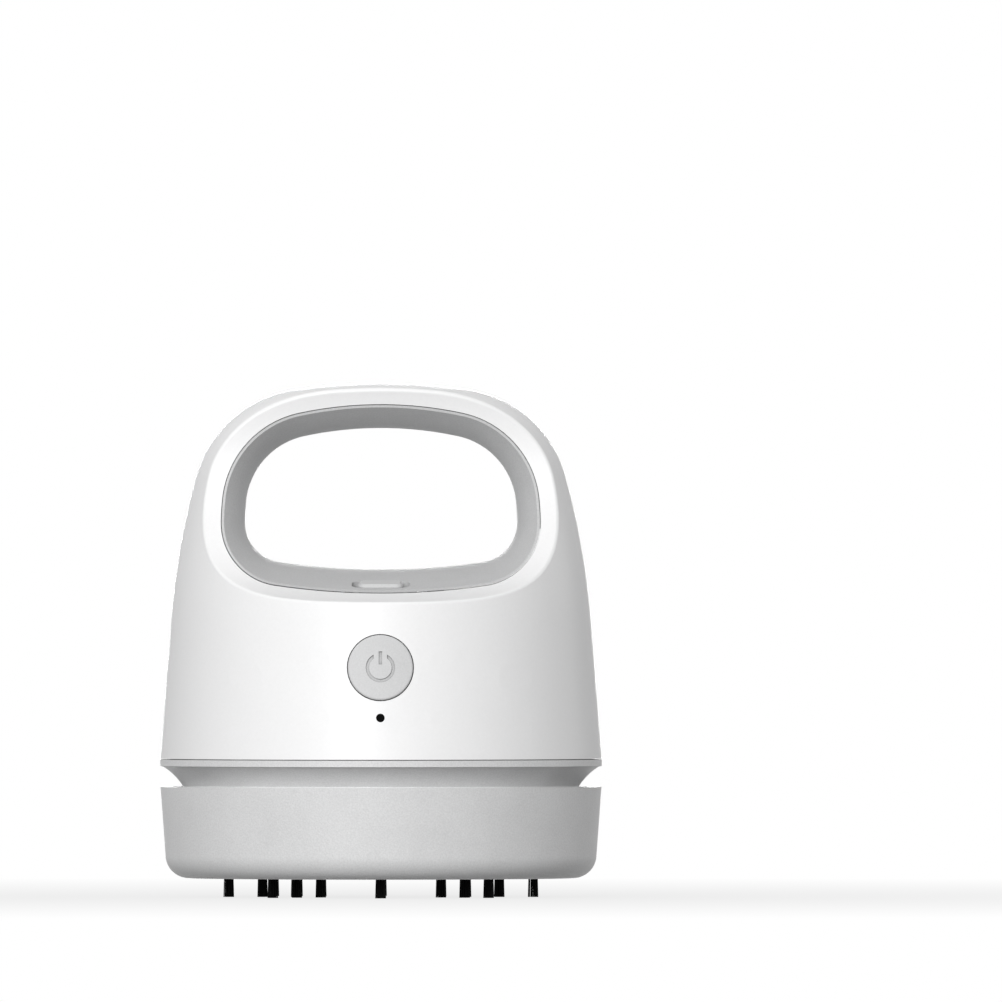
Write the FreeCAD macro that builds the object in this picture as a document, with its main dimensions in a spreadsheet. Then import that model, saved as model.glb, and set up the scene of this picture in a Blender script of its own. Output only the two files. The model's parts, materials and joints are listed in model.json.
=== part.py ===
import FreeCAD, Part
import math
import os
import re
import Sketcher

# Desktop mini vacuum cleaner. Z is up, the front faces -Y, and the origin is on the axis
# at the height of the tuft tips. Lengths are millimetres and angles are degrees.

V = FreeCAD.Vector
X_WAY = V(1, 0, 0)
Y_WAY = V(0, 1, 0)
Z_WAY = V(0, 0, 1)

SIZES = (
    # bell-shaped housing
    ("overall_height", 95.6, "tuft tips to crown"),
    ("bell_radius", 41.0, "housing radius at its foot"),
    ("bell_foot", 25.75, "height of the housing's lower edge"),
    ("draft_angle", 4.48, "lean of the straight wall"),
    ("flank_start", 51.8, "height where the wall starts to curve"),
    ("flank_radius", 142.0, "curve of the flank"),
    ("shoulder_radius", 22.5, "curve of the shoulder"),
    ("crown_radius", 105.0, "curve of the crown"),
    ("shell_wall", 2.0, "thickness of both housing halves"),
    ("crease_radius", 0.6, "rounding of the crease round each scoop"),
    ("half_gap", 0.06, "gap between the housing halves"),
    # scoops and handle opening
    ("scoop_radius", 28.34, "radius of the front and rear scoop"),
    ("scoop_height", 83.26, "height of the scoop's axis"),
    ("scoop_reach", 40.46, "distance of the scoop's axis from the middle"),
    ("opening_top", 87.2, "top of the throat"),
    ("opening_bottom", 60.9, "bottom of the throat"),
    ("opening_half_width", 25.3, "half the width of the throat"),
    ("opening_waist", 69.0, "height of the throat's widest place"),
    ("arch_radius", 68.0, "curve of the throat's top"),
    ("side_radius", 45.0, "curve of the throat's sides"),
    ("floor_radius", 130.0, "curve of the throat's floor"),
    ("upper_corner", 13.7, "upper corners of the throat"),
    ("lower_corner", 7.4, "lower corners of the throat"),
    ("liner_flare", 4.4, "how much wider the liner is at its rims"),
    ("liner_rim", 0.6, "width of the liner's rim"),
    ("liner_wall", 1.6, "thickness of the liner"),
    ("liner_fit", 0.14, "gap between the liner and the housing"),
    ("liner_lip", 1.3, "width of the lip that the halves clamp"),
    ("lip_thickness", 1.2, "thickness of that lip"),
    ("lip_clearance", 1.0, "room between that lip and the pin bosses"),
    # neck ring
    ("parting_gap", 0.15, "gap between the housing and the neck ring"),
    ("neck_lip_radius", 41.05, "radius of the neck ring's lip"),
    ("neck_lip_height", 1.2, "height of that lip"),
    ("neck_lip_step", 0.65, "step below the lip"),
    ("cove_foot", 20.7, "height of the cove's lower end"),
    ("cove_radius", 11.9, "curve of the cove"),
    ("cove_height", 3.5, "height of the cove"),
    ("neck_radius", 36.85, "radius of the neck below the cove"),
    ("neck_wall", 1.95, "wall of the neck"),
    ("spigot_height", 2.4, "height of the spigot inside the housing"),
    ("spigot_wall", 1.5, "wall of that spigot"),
    ("deck_top", 20.6, "top of the fan deck"),
    ("deck_thickness", 2.0, "thickness of the fan deck"),
    ("eye_radius", 10.0, "air inlet in the deck"),
    ("plug_radius", 38.5, "radius of the plug inside the bowl"),
    ("plug_wall", 2.3, "wall of the plug"),
    ("plug_bottom", 15.4, "lower end of the plug"),
    ("plug_drop", 0.6, "step from the cove down to the plug"),
    ("lug_count", 3, "bayonet lugs"),
    ("lug_half_angle", 4.0, "half of one lug's spread"),
    ("lug_radius", 39.9, "reach of the lugs"),
    ("lug_bottom", 17.0, "underside of the lugs"),
    ("lug_height", 1.4, "height of the lugs"),
    # dust bowl
    ("bowl_rim", 20.5, "height of the bowl's rim"),
    ("bowl_radius", 41.0, "radius of the bowl at its rim"),
    ("bowl_lean", 0.93, "how much the bowl narrows downwards"),
    ("bowl_corner", 4.3, "rounding of the bowl's bottom edge"),
    ("bowl_bottom", 3.53, "underside of the bowl"),
    ("bowl_bore", 39.0, "inside radius round the plug"),
    ("bore_depth", 8.1, "depth of that bore"),
    ("bowl_inner_foot", 38.0, "inside radius near the floor"),
    ("inner_corner", 2.4, "rounding inside the bowl"),
    ("floor_thickness", 1.5, "thickness of the bowl's floor"),
    ("lock_angle", 22.0, "turn that locks the bowl"),
    ("lug_clearance", 0.2, "room round the lugs"),
    # brush plate, tufts and inlet
    ("plate_radius", 33.0, "radius of the brush plate"),
    ("plate_thickness", 2.0, "thickness of the brush plate"),
    ("plate_fit", 0.08, "gap round the brush plate"),
    ("tuft_radius", 1.025, "radius of a tuft"),
    ("tuft_count", 8, "tufts in each ring"),
    ("tuft_ring_outer", 28.3, "radius of the outer ring of tufts"),
    ("tuft_ring_middle", 22.0, "radius of the middle ring of tufts"),
    ("tuft_ring_inner", 15.8, "radius of the inner ring of tufts"),
    ("tuft_root", 1.45, "depth of a tuft in the plate"),
    ("tuft_fit", 0.02, "gap round a tuft"),
    ("inlet_radius", 8.0, "bore of the inlet riser"),
    ("riser_wall", 1.5, "wall of the inlet riser"),
    ("riser_top", 9.6, "height of the riser's mouth"),
    ("riser_flange", 13.4, "radius of the riser's flange"),
    ("flange_thickness", 0.8, "thickness of that flange"),
    ("plate_screw_ring", 11.6, "radius of the ring of plate screws"),
    ("plate_screw_count", 4, "plate screws"),
    # filter
    ("frame_top", 18.2, "top of the filter frame"),
    ("frame_bottom", 12.6, "underside of the filter frame"),
    ("frame_radius", 35.9, "radius of the filter frame in the plug"),
    ("frame_wall", 1.7, "wall of the filter frame"),
    ("collar_radius", 38.4, "radius of the frame's collar"),
    ("collar_gap", 0.3, "gap between the collar and the plug"),
    ("ledge_width", 1.6, "ledge that carries the mesh"),
    ("ledge_thickness", 0.5, "thickness of that ledge"),
    ("spoke_count", 6, "spokes under the mesh"),
    ("spoke_width", 1.6, "width of the spokes under the mesh"),
    ("groove_depth", 1.4, "depth of the seal's groove"),
    ("groove_height", 1.7, "height of the seal's groove"),
    ("seal_section", 0.75, "radius of the seal's cord"),
    ("seal_gap", 0.3, "gap between the seal and the bowl"),
    ("mesh_thickness", 0.3, "thickness of the steel mesh"),
    ("mesh_fit", 0.1, "gap round the mesh and the pleats"),
    ("pleat_count", 15, "pleats across the filter"),
    ("pleat_height", 4.4, "height of the pleats"),
    ("pleat_paper", 0.5, "thickness of the pleated paper"),
    # fan and motor
    ("fan_radius", 28.0, "outer radius of the fan housing"),
    ("fan_wall", 1.6, "wall of the fan housing"),
    ("fan_height", 9.4, "height of the fan housing above the deck"),
    ("outlet_count", 8, "outlets round the fan housing"),
    ("outlet_width", 9.0, "width of an outlet"),
    ("outlet_height", 4.5, "height of an outlet"),
    ("ear_count", 3, "ears of the fan housing"),
    ("ear_radius", 3.0, "radius of an ear"),
    ("ear_overlap", 0.9, "how far an ear's middle lies inside its own radius from the wall"),
    ("ear_thickness", 1.8, "thickness of an ear"),
    ("impeller_radius", 24.3, "radius of the impeller"),
    ("impeller_gap", 0.8, "gap above and below the impeller"),
    ("back_plate", 1.2, "thickness of the impeller's back plate"),
    ("blade_count", 9, "blades of the impeller"),
    ("blade_thickness", 1.0, "thickness of a blade"),
    ("blade_start", 9.0, "radius where a blade starts"),
    ("blade_reach", 22.0, "radius where a blade ends"),
    ("blade_sweep", 32.0, "how far a blade's tip trails its root"),
    ("blade_curve", 17.0, "curve of a blade"),
    ("hub_radius", 4.0, "radius of the impeller's hub"),
    ("shaft_radius", 1.0, "radius of the motor shaft"),
    ("shaft_clearance", 0.05, "running gap round the shaft"),
    ("motor_radius", 12.0, "radius of the motor can"),
    ("motor_height", 21.0, "height of the motor can"),
    ("can_wall", 0.7, "wall of the motor can"),
    ("motor_boss", 4.0, "radius of the motor's bearing boss"),
    ("cap_height", 2.6, "height of the motor's end cap"),
    ("magnet_thickness", 1.6, "thickness of the magnets"),
    ("magnet_half_angle", 62.0, "half of a magnet's spread"),
    ("magnet_height", 13.2, "height of the magnets"),
    ("magnet_count", 2, "magnets"),
    ("air_gap", 0.4, "gap between magnets and armature"),
    ("armature_start", 3.7, "height of the armature above the can's floor"),
    ("armature_height", 11.0, "height of the armature"),
    ("armature_slots", 5, "winding slots of the armature"),
    ("slot_width", 1.6, "width of a winding slot"),
    ("commutator_radius", 3.0, "radius of the commutator"),
    ("terminal_width", 2.0, "width of a motor terminal"),
    ("terminal_height", 2.2, "height of a motor terminal"),
    ("terminal_thickness", 0.5, "thickness of a motor terminal"),
    ("terminal_spread", 3.6, "distance of a terminal from the axis"),
    # battery
    ("cell_radius", 8.0, "radius of the battery cell"),
    ("cell_length", 34.0, "length of the battery cell"),
    ("contact_height", 0.8, "height of the cell's raised contact"),
    ("cell_fit", 0.1, "gap round the cell"),
    ("cradle_wall", 1.2, "walls of the battery cradle"),
    ("cradle_gap", 0.6, "gap between the cradle and the motor"),
    # button, lamp and main board
    ("button_height", 42.8, "height of the button's middle"),
    ("button_radius", 6.05, "radius of the button"),
    ("button_proud", 0.35, "how far the button stands out"),
    ("button_gap", 0.16, "gap round the button"),
    ("button_flange", 1.3, "how much wider the button's flange is"),
    ("button_seat", 36.2, "distance of the button's seat from the axis"),
    ("button_travel", 0.6, "travel of the button"),
    ("seat_gap", 0.1, "gap between flange and seat"),
    ("stem_radius", 1.6, "radius of the button's stem"),
    ("mark_radius", 2.4, "radius of the power mark"),
    ("mark_width", 0.62, "width of the power mark's lines"),
    ("mark_depth", 0.3, "depth of the power mark"),
    ("lamp_height", 33.5, "height of the indicator"),
    ("lamp_radius", 0.76, "radius of the indicator"),
    ("lamp_fit", 0.04, "gap round the indicator"),
    ("lamp_collar", 1.8, "radius of the light guide's collar"),
    ("lamp_collar_thickness", 1.0, "thickness of that collar"),
    ("led_size", 1.6, "side of the indicator diode"),
    ("led_height", 1.1, "height of the indicator diode"),
    ("board_front", 29.5, "distance of the board's face from the axis"),
    ("board_thickness", 1.6, "thickness of the main board"),
    ("board_half_width", 14.0, "half the width of the main board"),
    ("board_bottom", 30.6, "lower edge of the main board"),
    ("board_top", 47.0, "upper edge of the main board"),
    ("board_screw_inset", 2.6, "board screws from the board's edges"),
    ("tact_side", 6.0, "side of the push switch"),
    ("tact_depth", 3.5, "depth of the push switch"),
    ("plunger_radius", 1.7, "radius of the push switch's plunger"),
    ("plunger_reach", 1.1, "how far the plunger stands out"),
    # slide switch in the floor of the handle
    ("switch_place", 0.86, "share of the way from throat to rim"),
    ("window_length", 10.7, "length of the switch window"),
    ("window_width", 7.2, "width of the switch window"),
    ("window_corner", 2.2, "corners of the switch window"),
    ("knob_length", 8.2, "length of the slide knob"),
    ("knob_width", 5.4, "width of the slide knob"),
    ("knob_proud", 0.5, "how far the knob stands out"),
    ("knob_chamfer", 0.5, "chamfer round the knob"),
    ("knob_corner", 1.5, "corners of the slide knob"),
    ("knob_travel", 1.0, "travel of the knob each way"),
    ("knob_plate_length", 13.4, "length of the plate under the knob"),
    ("knob_plate_width", 8.2, "width of the plate under the knob"),
    ("knob_plate_thickness", 1.0, "thickness of that plate"),
    ("knob_clearance", 0.3, "gaps round the knob's plate"),
    ("lever_width", 1.6, "width of the switch lever"),
    ("lever_reach", 1.6, "depth of the lever in the switch"),
    ("switch_length", 9.0, "length of the slide switch"),
    ("switch_width", 4.6, "width of the slide switch"),
    ("switch_height", 3.0, "height of the slide switch"),
    ("switch_board_length", 24.0, "length of the switch board"),
    ("switch_board_width", 6.4, "width of the switch board"),
    ("switch_board_thickness", 1.0, "thickness of the switch board"),
    ("switch_post_spread", 10.2, "distance of a post from the middle"),
    ("switch_post_radius", 1.6, "radius of a switch board post"),
    # charging port
    ("port_height", 30.0, "height of the charging port"),
    ("port_width", 8.94, "width of the port's metal shell"),
    ("port_thickness", 3.2, "height of the port's metal shell"),
    ("port_depth", 7.4, "depth of the port"),
    ("port_wall", 0.3, "wall of the port's metal shell"),
    ("port_gap", 0.2, "gap round the port"),
    ("tongue_length", 5.5, "length of the port's tongue"),
    ("tongue_width", 6.6, "width of the port's tongue"),
    ("tongue_thickness", 0.7, "thickness of the port's tongue"),
    ("charge_board_width", 17.0, "width of the charging board"),
    ("charge_board_depth", 7.2, "depth of the charging board"),
    ("charge_board_thickness", 1.2, "thickness of the charging board"),
    ("charge_post_radius", 1.7, "radius of a charging board post"),
    # exhaust
    ("vent_count", 9, "exhaust slots"),
    ("vent_pitch", 6.2, "angle between exhaust slots"),
    ("vent_width", 1.7, "width of an exhaust slot"),
    ("vent_bottom", 37.5, "lower end of the exhaust slots"),
    ("vent_height", 11.0, "height of the exhaust slots"),
    # screws and bosses
    ("screw_radius", 1.0, "radius of the small screws"),
    ("screw_head", 1.9, "head radius of the small screws"),
    ("head_height", 1.1, "head height of the small screws"),
    ("screw_fit", 0.05, "gap round a screw"),
    ("boss_radius", 3.0, "radius of the bosses"),
    ("boss_spread", 25.0, "housing screws from the middle"),
    ("boss_height", 41.0, "height of the housing screws"),
    ("thread_length", 9.0, "depth of a housing screw in the front half"),
    ("pin_spread", 32.2, "locating pins from the middle"),
    ("pin_height", 64.5, "height of the locating pins"),
    ("pin_radius", 1.3, "radius of the locating pins"),
    ("pin_length", 4.0, "length of the locating pins"),
    ("recess_floor", 7.0, "depth where the rear screw heads sit"),
    ("recess_radius", 2.3, "radius of the rear screw recesses"),
    ("neck_screw_ring", 31.6, "radius of the ring of neck screws"),
    ("neck_screw_count", 4, "neck screws"),
    ("neck_boss_top", 34.0, "top of the bosses for the neck screws"),
    ("web_thickness", 1.6, "webs between bosses and wall"),
    # leads
    ("lead_radius", 0.6, "radius of the insulated leads"),
    ("lead_bend", 2.4, "bend radius of the leads"),
)
NAMES = {name for name, amount, note in SIZES}

doc = FreeCAD.newDocument("DesktopVacuum")
nodes = []


def make_sheet():
    table = doc.addObject("Spreadsheet::Sheet", "Sizes")
    for row, (name, amount, note) in enumerate(SIZES, start=1):
        table.set(f"A{row}", name)
        table.set(f"B{row}", str(amount))
        table.set(f"C{row}", note)
        table.setAlias(f"B{row}", name)
    doc.recompute()
    return table


sheet = make_sheet()


def bound(expression):
    """An expression in which each size points at its cell."""
    return re.sub(r"[a-z]\w*", lambda m: "Sizes." + m[0] if m[0] in NAMES else m[0], expression)


def mm(expression):
    """What an expression of sizes comes to."""
    return float(sheet.evalExpression(bound(expression)))


# ---- sketches and features ----


def part_body(label, several=False):
    body = doc.addObject("PartDesign::Body", label)
    body.Label = label
    body.AllowCompound = several
    return body


def origin_part(body, role):
    return next(item for item in body.Origin.OriginFeatures if item.Role == role)


def new_sketch(body, role, offset="0"):
    sketch = body.newObject("Sketcher::SketchObject", body.Label + "_sketch")
    sketch.AttachmentSupport = (origin_part(body, role), [""])
    sketch.MapMode = "FlatFace"
    sketch.setExpression("AttachmentOffset.Base.z", bound(offset))
    return sketch


def dimension(sketch, kind, where, expression):
    index = sketch.addConstraint(Sketcher.Constraint(kind, *where, mm(expression)))
    sketch.setExpression(f"Constraints[{index}]", bound(expression))


def arc_between(start, end, radius, side):
    """The short arc from start to end, bulging to the right of the way for side 1."""
    chord = end - start
    across = V(chord.y, -chord.x, 0).normalize() * side
    rise = radius - math.sqrt(max(radius**2 - chord.Length**2 / 4, 0))
    middle = (start + end) * 0.5 + across * rise
    return Part.Arc(start, middle, end) if side > 0 else Part.Arc(end, middle, start)


def outline(sketch, corners):
    """A closed outline. A corner is x and y, and for an arc that leads to it its radius and side."""
    places = [V(mm(corner[0]), mm(corner[1]), 0) for corner in corners]
    ends = []
    for index, corner in enumerate(corners):
        start, end = places[index - 1], places[index]
        if len(corner) == 2:
            edge = sketch.addGeometry(Part.LineSegment(start, end))
            ends.append((edge, 1, 2))
            continue
        edge = sketch.addGeometry(arc_between(start, end, mm(corner[2]), corner[3]))
        first_is_start = (sketch.Geometry[edge].StartPoint - start).Length < 1e-6
        ends.append((edge, 1, 2) if first_is_start else (edge, 2, 1))
        dimension(sketch, "Radius", (edge,), corner[2])
    for index, corner in enumerate(corners):
        edge, first, last = ends[index]
        following, following_first, following_last = ends[(index + 1) % len(ends)]
        sketch.addConstraint(
            Sketcher.Constraint("Coincident", edge, last, following, following_first)
        )
        dimension(sketch, "DistanceX", (-1, 1, edge, last), corner[0])
        dimension(sketch, "DistanceY", (-1, 1, edge, last), corner[1])


def circle(sketch, x, y, radius):
    edge = sketch.addGeometry(Part.Circle(V(mm(x), mm(y), 0), Z_WAY, mm(radius)))
    dimension(sketch, "DistanceX", (-1, 1, edge, 3), x)
    dimension(sketch, "DistanceY", (-1, 1, edge, 3), y)
    dimension(sketch, "Radius", (edge,), radius)


def rectangle(sketch, low_x, high_x, low_y, high_y):
    outline(sketch, ((low_x, low_y), (high_x, low_y), (high_x, high_y), (low_x, high_y)))


def sector(sketch, inner, outer, from_angle, to_angle):
    """A piece of a ring between two angles from the x axis, less than half a turn."""

    def place(radius, angle):
        return f"({radius}) * cos(({angle}) * 1deg)", f"({radius}) * sin(({angle}) * 1deg)"

    outline(
        sketch,
        (
            (*place(inner, from_angle), inner, -1),
            place(outer, from_angle),
            (*place(outer, to_angle), outer, 1),
            place(inner, to_angle),
        ),
    )


def finish_feature(body, feature, grows):
    before = body.Shape.Volume if body.Tip and not body.Shape.isNull() else 0
    body.Tip = feature
    doc.recompute()
    change = body.Shape.Volume - before
    if (change > 0) != grows or abs(change) < 1e-6:
        raise RuntimeError(f"{feature.Label} in {body.Label} changed the volume by {change}")
    return feature


def turn(body, corners):
    sketch = new_sketch(body, "XZ_Plane")
    outline(sketch, corners)
    feature = body.newObject("PartDesign::Revolution", body.Label + "_turn")
    feature.Profile = (sketch, [""])
    feature.ReferenceAxis = (sketch, ["V_Axis"])
    feature.Angle = 360
    return finish_feature(body, feature, grows=True)


def pad(body, role, start, length, draw):
    """Material from a plane at start, along the plane's normal."""
    sketch = new_sketch(body, role, start)
    draw(sketch)
    feature = body.newObject("PartDesign::Pad", body.Label + "_pad")
    feature.Profile = (sketch, [""])
    feature.setExpression("Length", bound(length))
    return finish_feature(body, feature, grows=True)


def pocket(body, role, start, length, draw):
    """A cut from a plane at start, along the plane's normal."""
    sketch = new_sketch(body, role, start)
    draw(sketch)
    feature = body.newObject("PartDesign::Pocket", body.Label + "_pocket")
    feature.Profile = (sketch, [""])
    feature.Reversed = True
    feature.setExpression("Length", bound(length))
    return finish_feature(body, feature, grows=False)


def around(body, features, count, grows):
    ring = body.newObject("PartDesign::PolarPattern", body.Label + "_ring")
    ring.Originals = features
    ring.Axis = (origin_part(body, "Z_Axis"), [""])
    ring.Angle = 360
    ring.setExpression("Occurrences", bound(count))
    return finish_feature(body, ring, grows)


def node(item):
    nodes.append(item)
    return item


def solid_node(label, shape):
    item = doc.addObject("Part::Feature", label)
    item.Label = label
    item.Shape = shape
    return node(item)


def cylinder(radius, start, way, length):
    return Part.makeCylinder(radius, length, start, way)


def screw(tip, way, length):
    """A pan-head screw from its tip to the seat of its head."""
    shank = cylinder(mm("screw_radius"), tip, way, length)
    head = cylinder(mm("screw_head"), tip + way * length, way, mm("head_height"))
    return shank.fuse(head)


def countersunk(tip, way, length):
    """A flat-head screw from its tip to the face of its head."""
    shank = cylinder(mm("screw_radius"), tip, way, length)
    sink = mm("screw_head - screw_radius")
    seat = tip + way * (length - sink)
    return shank.fuse(Part.makeCone(mm("screw_radius"), mm("screw_head"), sink, seat, way))


def countersink(tip, way, length):
    """The hole for a flat-head screw, a little larger all round."""
    gap = mm("screw_fit")
    hole = cylinder(mm("screw_radius") + gap, tip, way, length)
    sink = mm("screw_head - screw_radius")
    seat = tip + way * (length - sink)
    cone = Part.makeCone(mm("screw_radius") + gap, mm("screw_head") + gap, sink, seat, way)
    return hole.fuse(cone)


def ring_places(radius, count, first_angle):
    for index in range(count):
        angle = math.radians(first_angle + 360 * index / count)
        yield V(radius * math.cos(angle), radius * math.sin(angle), 0)


# ---- the bell, its scoops and the handle opening ----


def bell_places(inset):
    """Foot, upper end of the straight wall and crown of the bell, as x and z expressions."""
    foot_x = f"bell_radius - ({inset}) / cos(draft_angle * 1deg)"
    wall_z = f"flank_start - ({inset}) * sin(draft_angle * 1deg)"
    wall_x = f"{foot_x} - ({wall_z} - bell_foot) * tan(draft_angle * 1deg)"
    return (foot_x, "bell_foot"), (wall_x, wall_z), ("0", f"overall_height - ({inset})")


def bell_edges(inset):
    """The bell's half outline, from the axis at its foot round to the axis again."""
    foot, wall, top = (V(mm(x), mm(z), 0) for x, z in bell_places(inset))
    low = V(0, foot.y, 0)
    angle = math.radians(mm("draft_angle"))
    inwards = V(-math.cos(angle), -math.sin(angle), 0)
    flank_r = mm(f"flank_radius - ({inset})")
    shoulder_r = mm(f"shoulder_radius - ({inset})")
    crown_r = mm(f"crown_radius - ({inset})")
    flank_c = wall + inwards * flank_r
    crown_c = V(0, top.y - crown_r, 0)
    shoulder_c = rolling_centre(crown_c, crown_r, flank_c, flank_r, shoulder_r)
    bend = flank_c + (shoulder_c - flank_c).normalize() * flank_r
    brow = crown_c + (shoulder_c - crown_c).normalize() * crown_r
    return (
        Part.LineSegment(low, foot),
        Part.LineSegment(foot, wall),
        arc_between(wall, bend, flank_r, 1),
        arc_between(bend, brow, shoulder_r, 1),
        arc_between(brow, top, crown_r, 1),
        Part.LineSegment(top, low),
    )


def bell(inset):
    """The bell shape, moved inwards by inset everywhere, as a turned body."""
    body = part_body("bell_form")
    sketch = new_sketch(body, "XZ_Plane")
    (foot_x, foot_z), (wall_x, wall_z), (_, crown_z) = bell_places(inset)
    edges = bell_edges(inset)
    base, side, flank, shoulder, crown, axis = (sketch.addGeometry(edge) for edge in edges)
    joins = (
        ("Coincident", base, 2, side, 1),
        ("Tangent", side, 2, flank, 1),
        ("Tangent", flank, 2, shoulder, 1),
        ("Tangent", shoulder, 2, crown, 1),
        ("Coincident", crown, 2, axis, 1),
        ("Coincident", axis, 2, base, 1),
        ("PointOnObject", base, 1, -2),
        ("PointOnObject", axis, 1, -2),
        ("PointOnObject", crown, 3, -2),
    )
    for join in joins:
        sketch.addConstraint(Sketcher.Constraint(*join))
    dimension(sketch, "DistanceX", (-1, 1, base, 2), foot_x)
    dimension(sketch, "DistanceY", (-1, 1, base, 2), foot_z)
    dimension(sketch, "DistanceY", (-1, 1, base, 1), foot_z)
    dimension(sketch, "DistanceX", (-1, 1, side, 2), wall_x)
    dimension(sketch, "DistanceY", (-1, 1, side, 2), wall_z)
    dimension(sketch, "DistanceY", (-1, 1, axis, 1), crown_z)
    dimension(sketch, "Radius", (flank,), f"flank_radius - ({inset})")
    dimension(sketch, "Radius", (shoulder,), f"shoulder_radius - ({inset})")
    dimension(sketch, "Radius", (crown,), f"crown_radius - ({inset})")
    feature = body.newObject("PartDesign::Revolution", "bell_turn")
    feature.Profile = (sketch, [""])
    feature.ReferenceAxis = (sketch, ["V_Axis"])
    feature.Angle = 360
    finish_feature(body, feature, grows=True)
    return body.Shape.Solids[0]


def rolling_centre(first, first_r, second, second_r, rolling_r):
    """Centre, on the right, of a circle that touches two larger ones from inside."""
    near = first_r - rolling_r
    far = second_r - rolling_r
    between = second - first
    along = (near**2 - far**2 + between.Length**2) / (2 * between.Length)
    across = math.sqrt(near**2 - along**2)
    way = V(between).normalize()
    side = V(-way.y, way.x, 0)
    middle = first + way * along
    return max((middle + side * across, middle - side * across), key=lambda place: place.x)


def wall_distance(height, inset):
    """Distance of the bell's straight wall from the axis."""
    lean = math.radians(mm("draft_angle"))
    drop = (height - mm("bell_foot")) * math.tan(lean)
    return mm("bell_radius") - drop - inset / math.cos(lean)


def scoop(side, grow):
    """The round scoop that hollows the front (-1) or the rear (1) of the handle."""
    width = 3 * mm("bell_radius")
    start = V(-width / 2, side * mm("scoop_reach"), mm("scoop_height"))
    return cylinder(mm("scoop_radius") + grow, start, X_WAY, width)


def scoop_depth(height):
    """Distance of the scooped face from the middle of the handle."""
    rise = height - mm("scoop_height")
    return mm("scoop_reach") - math.sqrt(mm("scoop_radius") ** 2 - rise**2)


def opening_arcs():
    """The throat of the handle as arcs: centre, radius and two angles, clockwise from the top."""
    arch_r, side_r, floor_r = mm("arch_radius"), mm("side_radius"), mm("floor_radius")
    arch = V(0, mm("opening_top") - arch_r, 0)
    side = V(mm("opening_half_width") - side_r, mm("opening_waist"), 0)
    floor = V(0, mm("opening_bottom") + floor_r, 0)
    upper_r, lower_r = mm("upper_corner"), mm("lower_corner")
    upper = rolling_centre(arch, arch_r, side, side_r, upper_r)
    lower = rolling_centre(floor, floor_r, side, side_r, lower_r)

    def heading(start, end):
        return math.atan2(end.y - start.y, end.x - start.x)

    top, high = heading(arch, upper), heading(side, upper)
    low, bottom = heading(side, lower), heading(floor, lower)
    right = [
        (upper, upper_r, top, high),
        (side, side_r, high, low),
        (lower, lower_r, low, bottom),
    ]
    left = [
        (V(-centre.x, centre.y, 0), radius, -math.pi - end, -math.pi - start)
        for centre, radius, start, end in reversed(right)
    ]
    return (
        [(arch, arch_r, math.pi - top, top)]
        + right
        + [(floor, floor_r, bottom, -math.pi - bottom)]
        + left
    )


def on_arc(arc, share, grow):
    centre, radius, start, end = arc
    angle = start + (end - start) * share
    return centre.x + (radius + grow) * math.cos(angle), centre.y + (radius + grow) * math.sin(angle)


def opening_prism(grow):
    """The opening, wider by grow, straight through the handle."""
    reach = mm("1.1 * bell_radius")
    edges = []
    for arc in opening_arcs():
        ends = [on_arc(arc, share, grow) for share in (0, 0.5, 1)]
        edges.append(Part.Arc(*[V(x, -reach, z) for x, z in ends]).toShape())
    return Part.Face(Part.Wire(edges)).extrude(V(0, 2 * reach, 0))


def liner_skin(grow):
    """The flared skin of the liner, from the middle of the handle out past the front face."""
    flare = mm("liner_flare - liner_rim")
    points_per_arc = 6
    sections = []
    for share in (-0.3, 0, 0.3, 0.6, 0.8, 1, 1.2):
        wider = flare * share**2
        edges = []
        for arc in opening_arcs():
            points = []
            for index in range(points_per_arc + 1):
                x, z = on_arc(arc, index / points_per_arc, wider + grow)
                face_z = on_arc(arc, index / points_per_arc, wider)[1]
                points.append(V(x, -share * scoop_depth(face_z), z))
            curve = Part.BSplineCurve()
            curve.interpolate(points)
            edges.append(curve.toShape())
        sections.append(Part.Wire(edges))
    return Part.makeLoft(sections, False, False)


def half_space(side):
    """Everything on one side of the plane between the housing halves."""
    reach = 2 * mm("bell_radius")
    start = -reach if side < 0 else mm("half_gap") / 2
    length = reach - mm("half_gap") / 2
    return Part.makeBox(2 * reach, length, 2 * reach, V(-reach, start, 0))


def piece_at(shape, place):
    """The solid of a shape that a place lies in."""
    return next(item for item in shape.Solids if item.isInside(place, 1e-3, True))


def liner_half():
    """The front half of the handle liner, with its clamped lip."""
    reach = 2 * mm("bell_radius")
    front = Part.makeBox(2 * reach, reach, 2 * reach, V(-reach, -reach, 0))
    form = bell_outer.cut(scoop(-1, 0)).common(front)
    block = form.common(opening_prism(mm("liner_flare - liner_fit")))
    inside = V(0, -0.5, mm("opening_bottom - liner_wall / 2"))
    block = piece_at(block.generalFuse([liner_skin(mm("liner_wall"))])[0], inside)
    clear = mm("shell_wall + liner_fit")
    lip = bell_hollow.cut(scoop(-1, clear)).common(scoop(-1, clear + mm("lip_thickness")))
    lip_start = mm("pin_height + boss_radius + lip_clearance")
    above = Part.makeBox(2 * reach, reach, reach, V(-reach, -reach, lip_start))
    lip = lip.common(above).common(opening_prism(mm("liner_flare + liner_lip")))
    return piece_at(block.fuse(lip).generalFuse([liner_skin(0)])[0], inside)


def switch_frame():
    """Place and tilt of the slide switch on the sloping floor of the handle."""
    flare = mm("liner_flare - liner_rim")

    def floor_place(share):
        height = mm("opening_bottom") - flare * share**2
        return V(0, -share * scoop_depth(height), height)

    share = mm("switch_place")
    step = 0.05
    slope = floor_place(share - step) - floor_place(share + step)
    tilt = math.degrees(math.atan2(slope.z, slope.y))
    return FreeCAD.Placement(floor_place(share), FreeCAD.Rotation(X_WAY, tilt))


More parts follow.
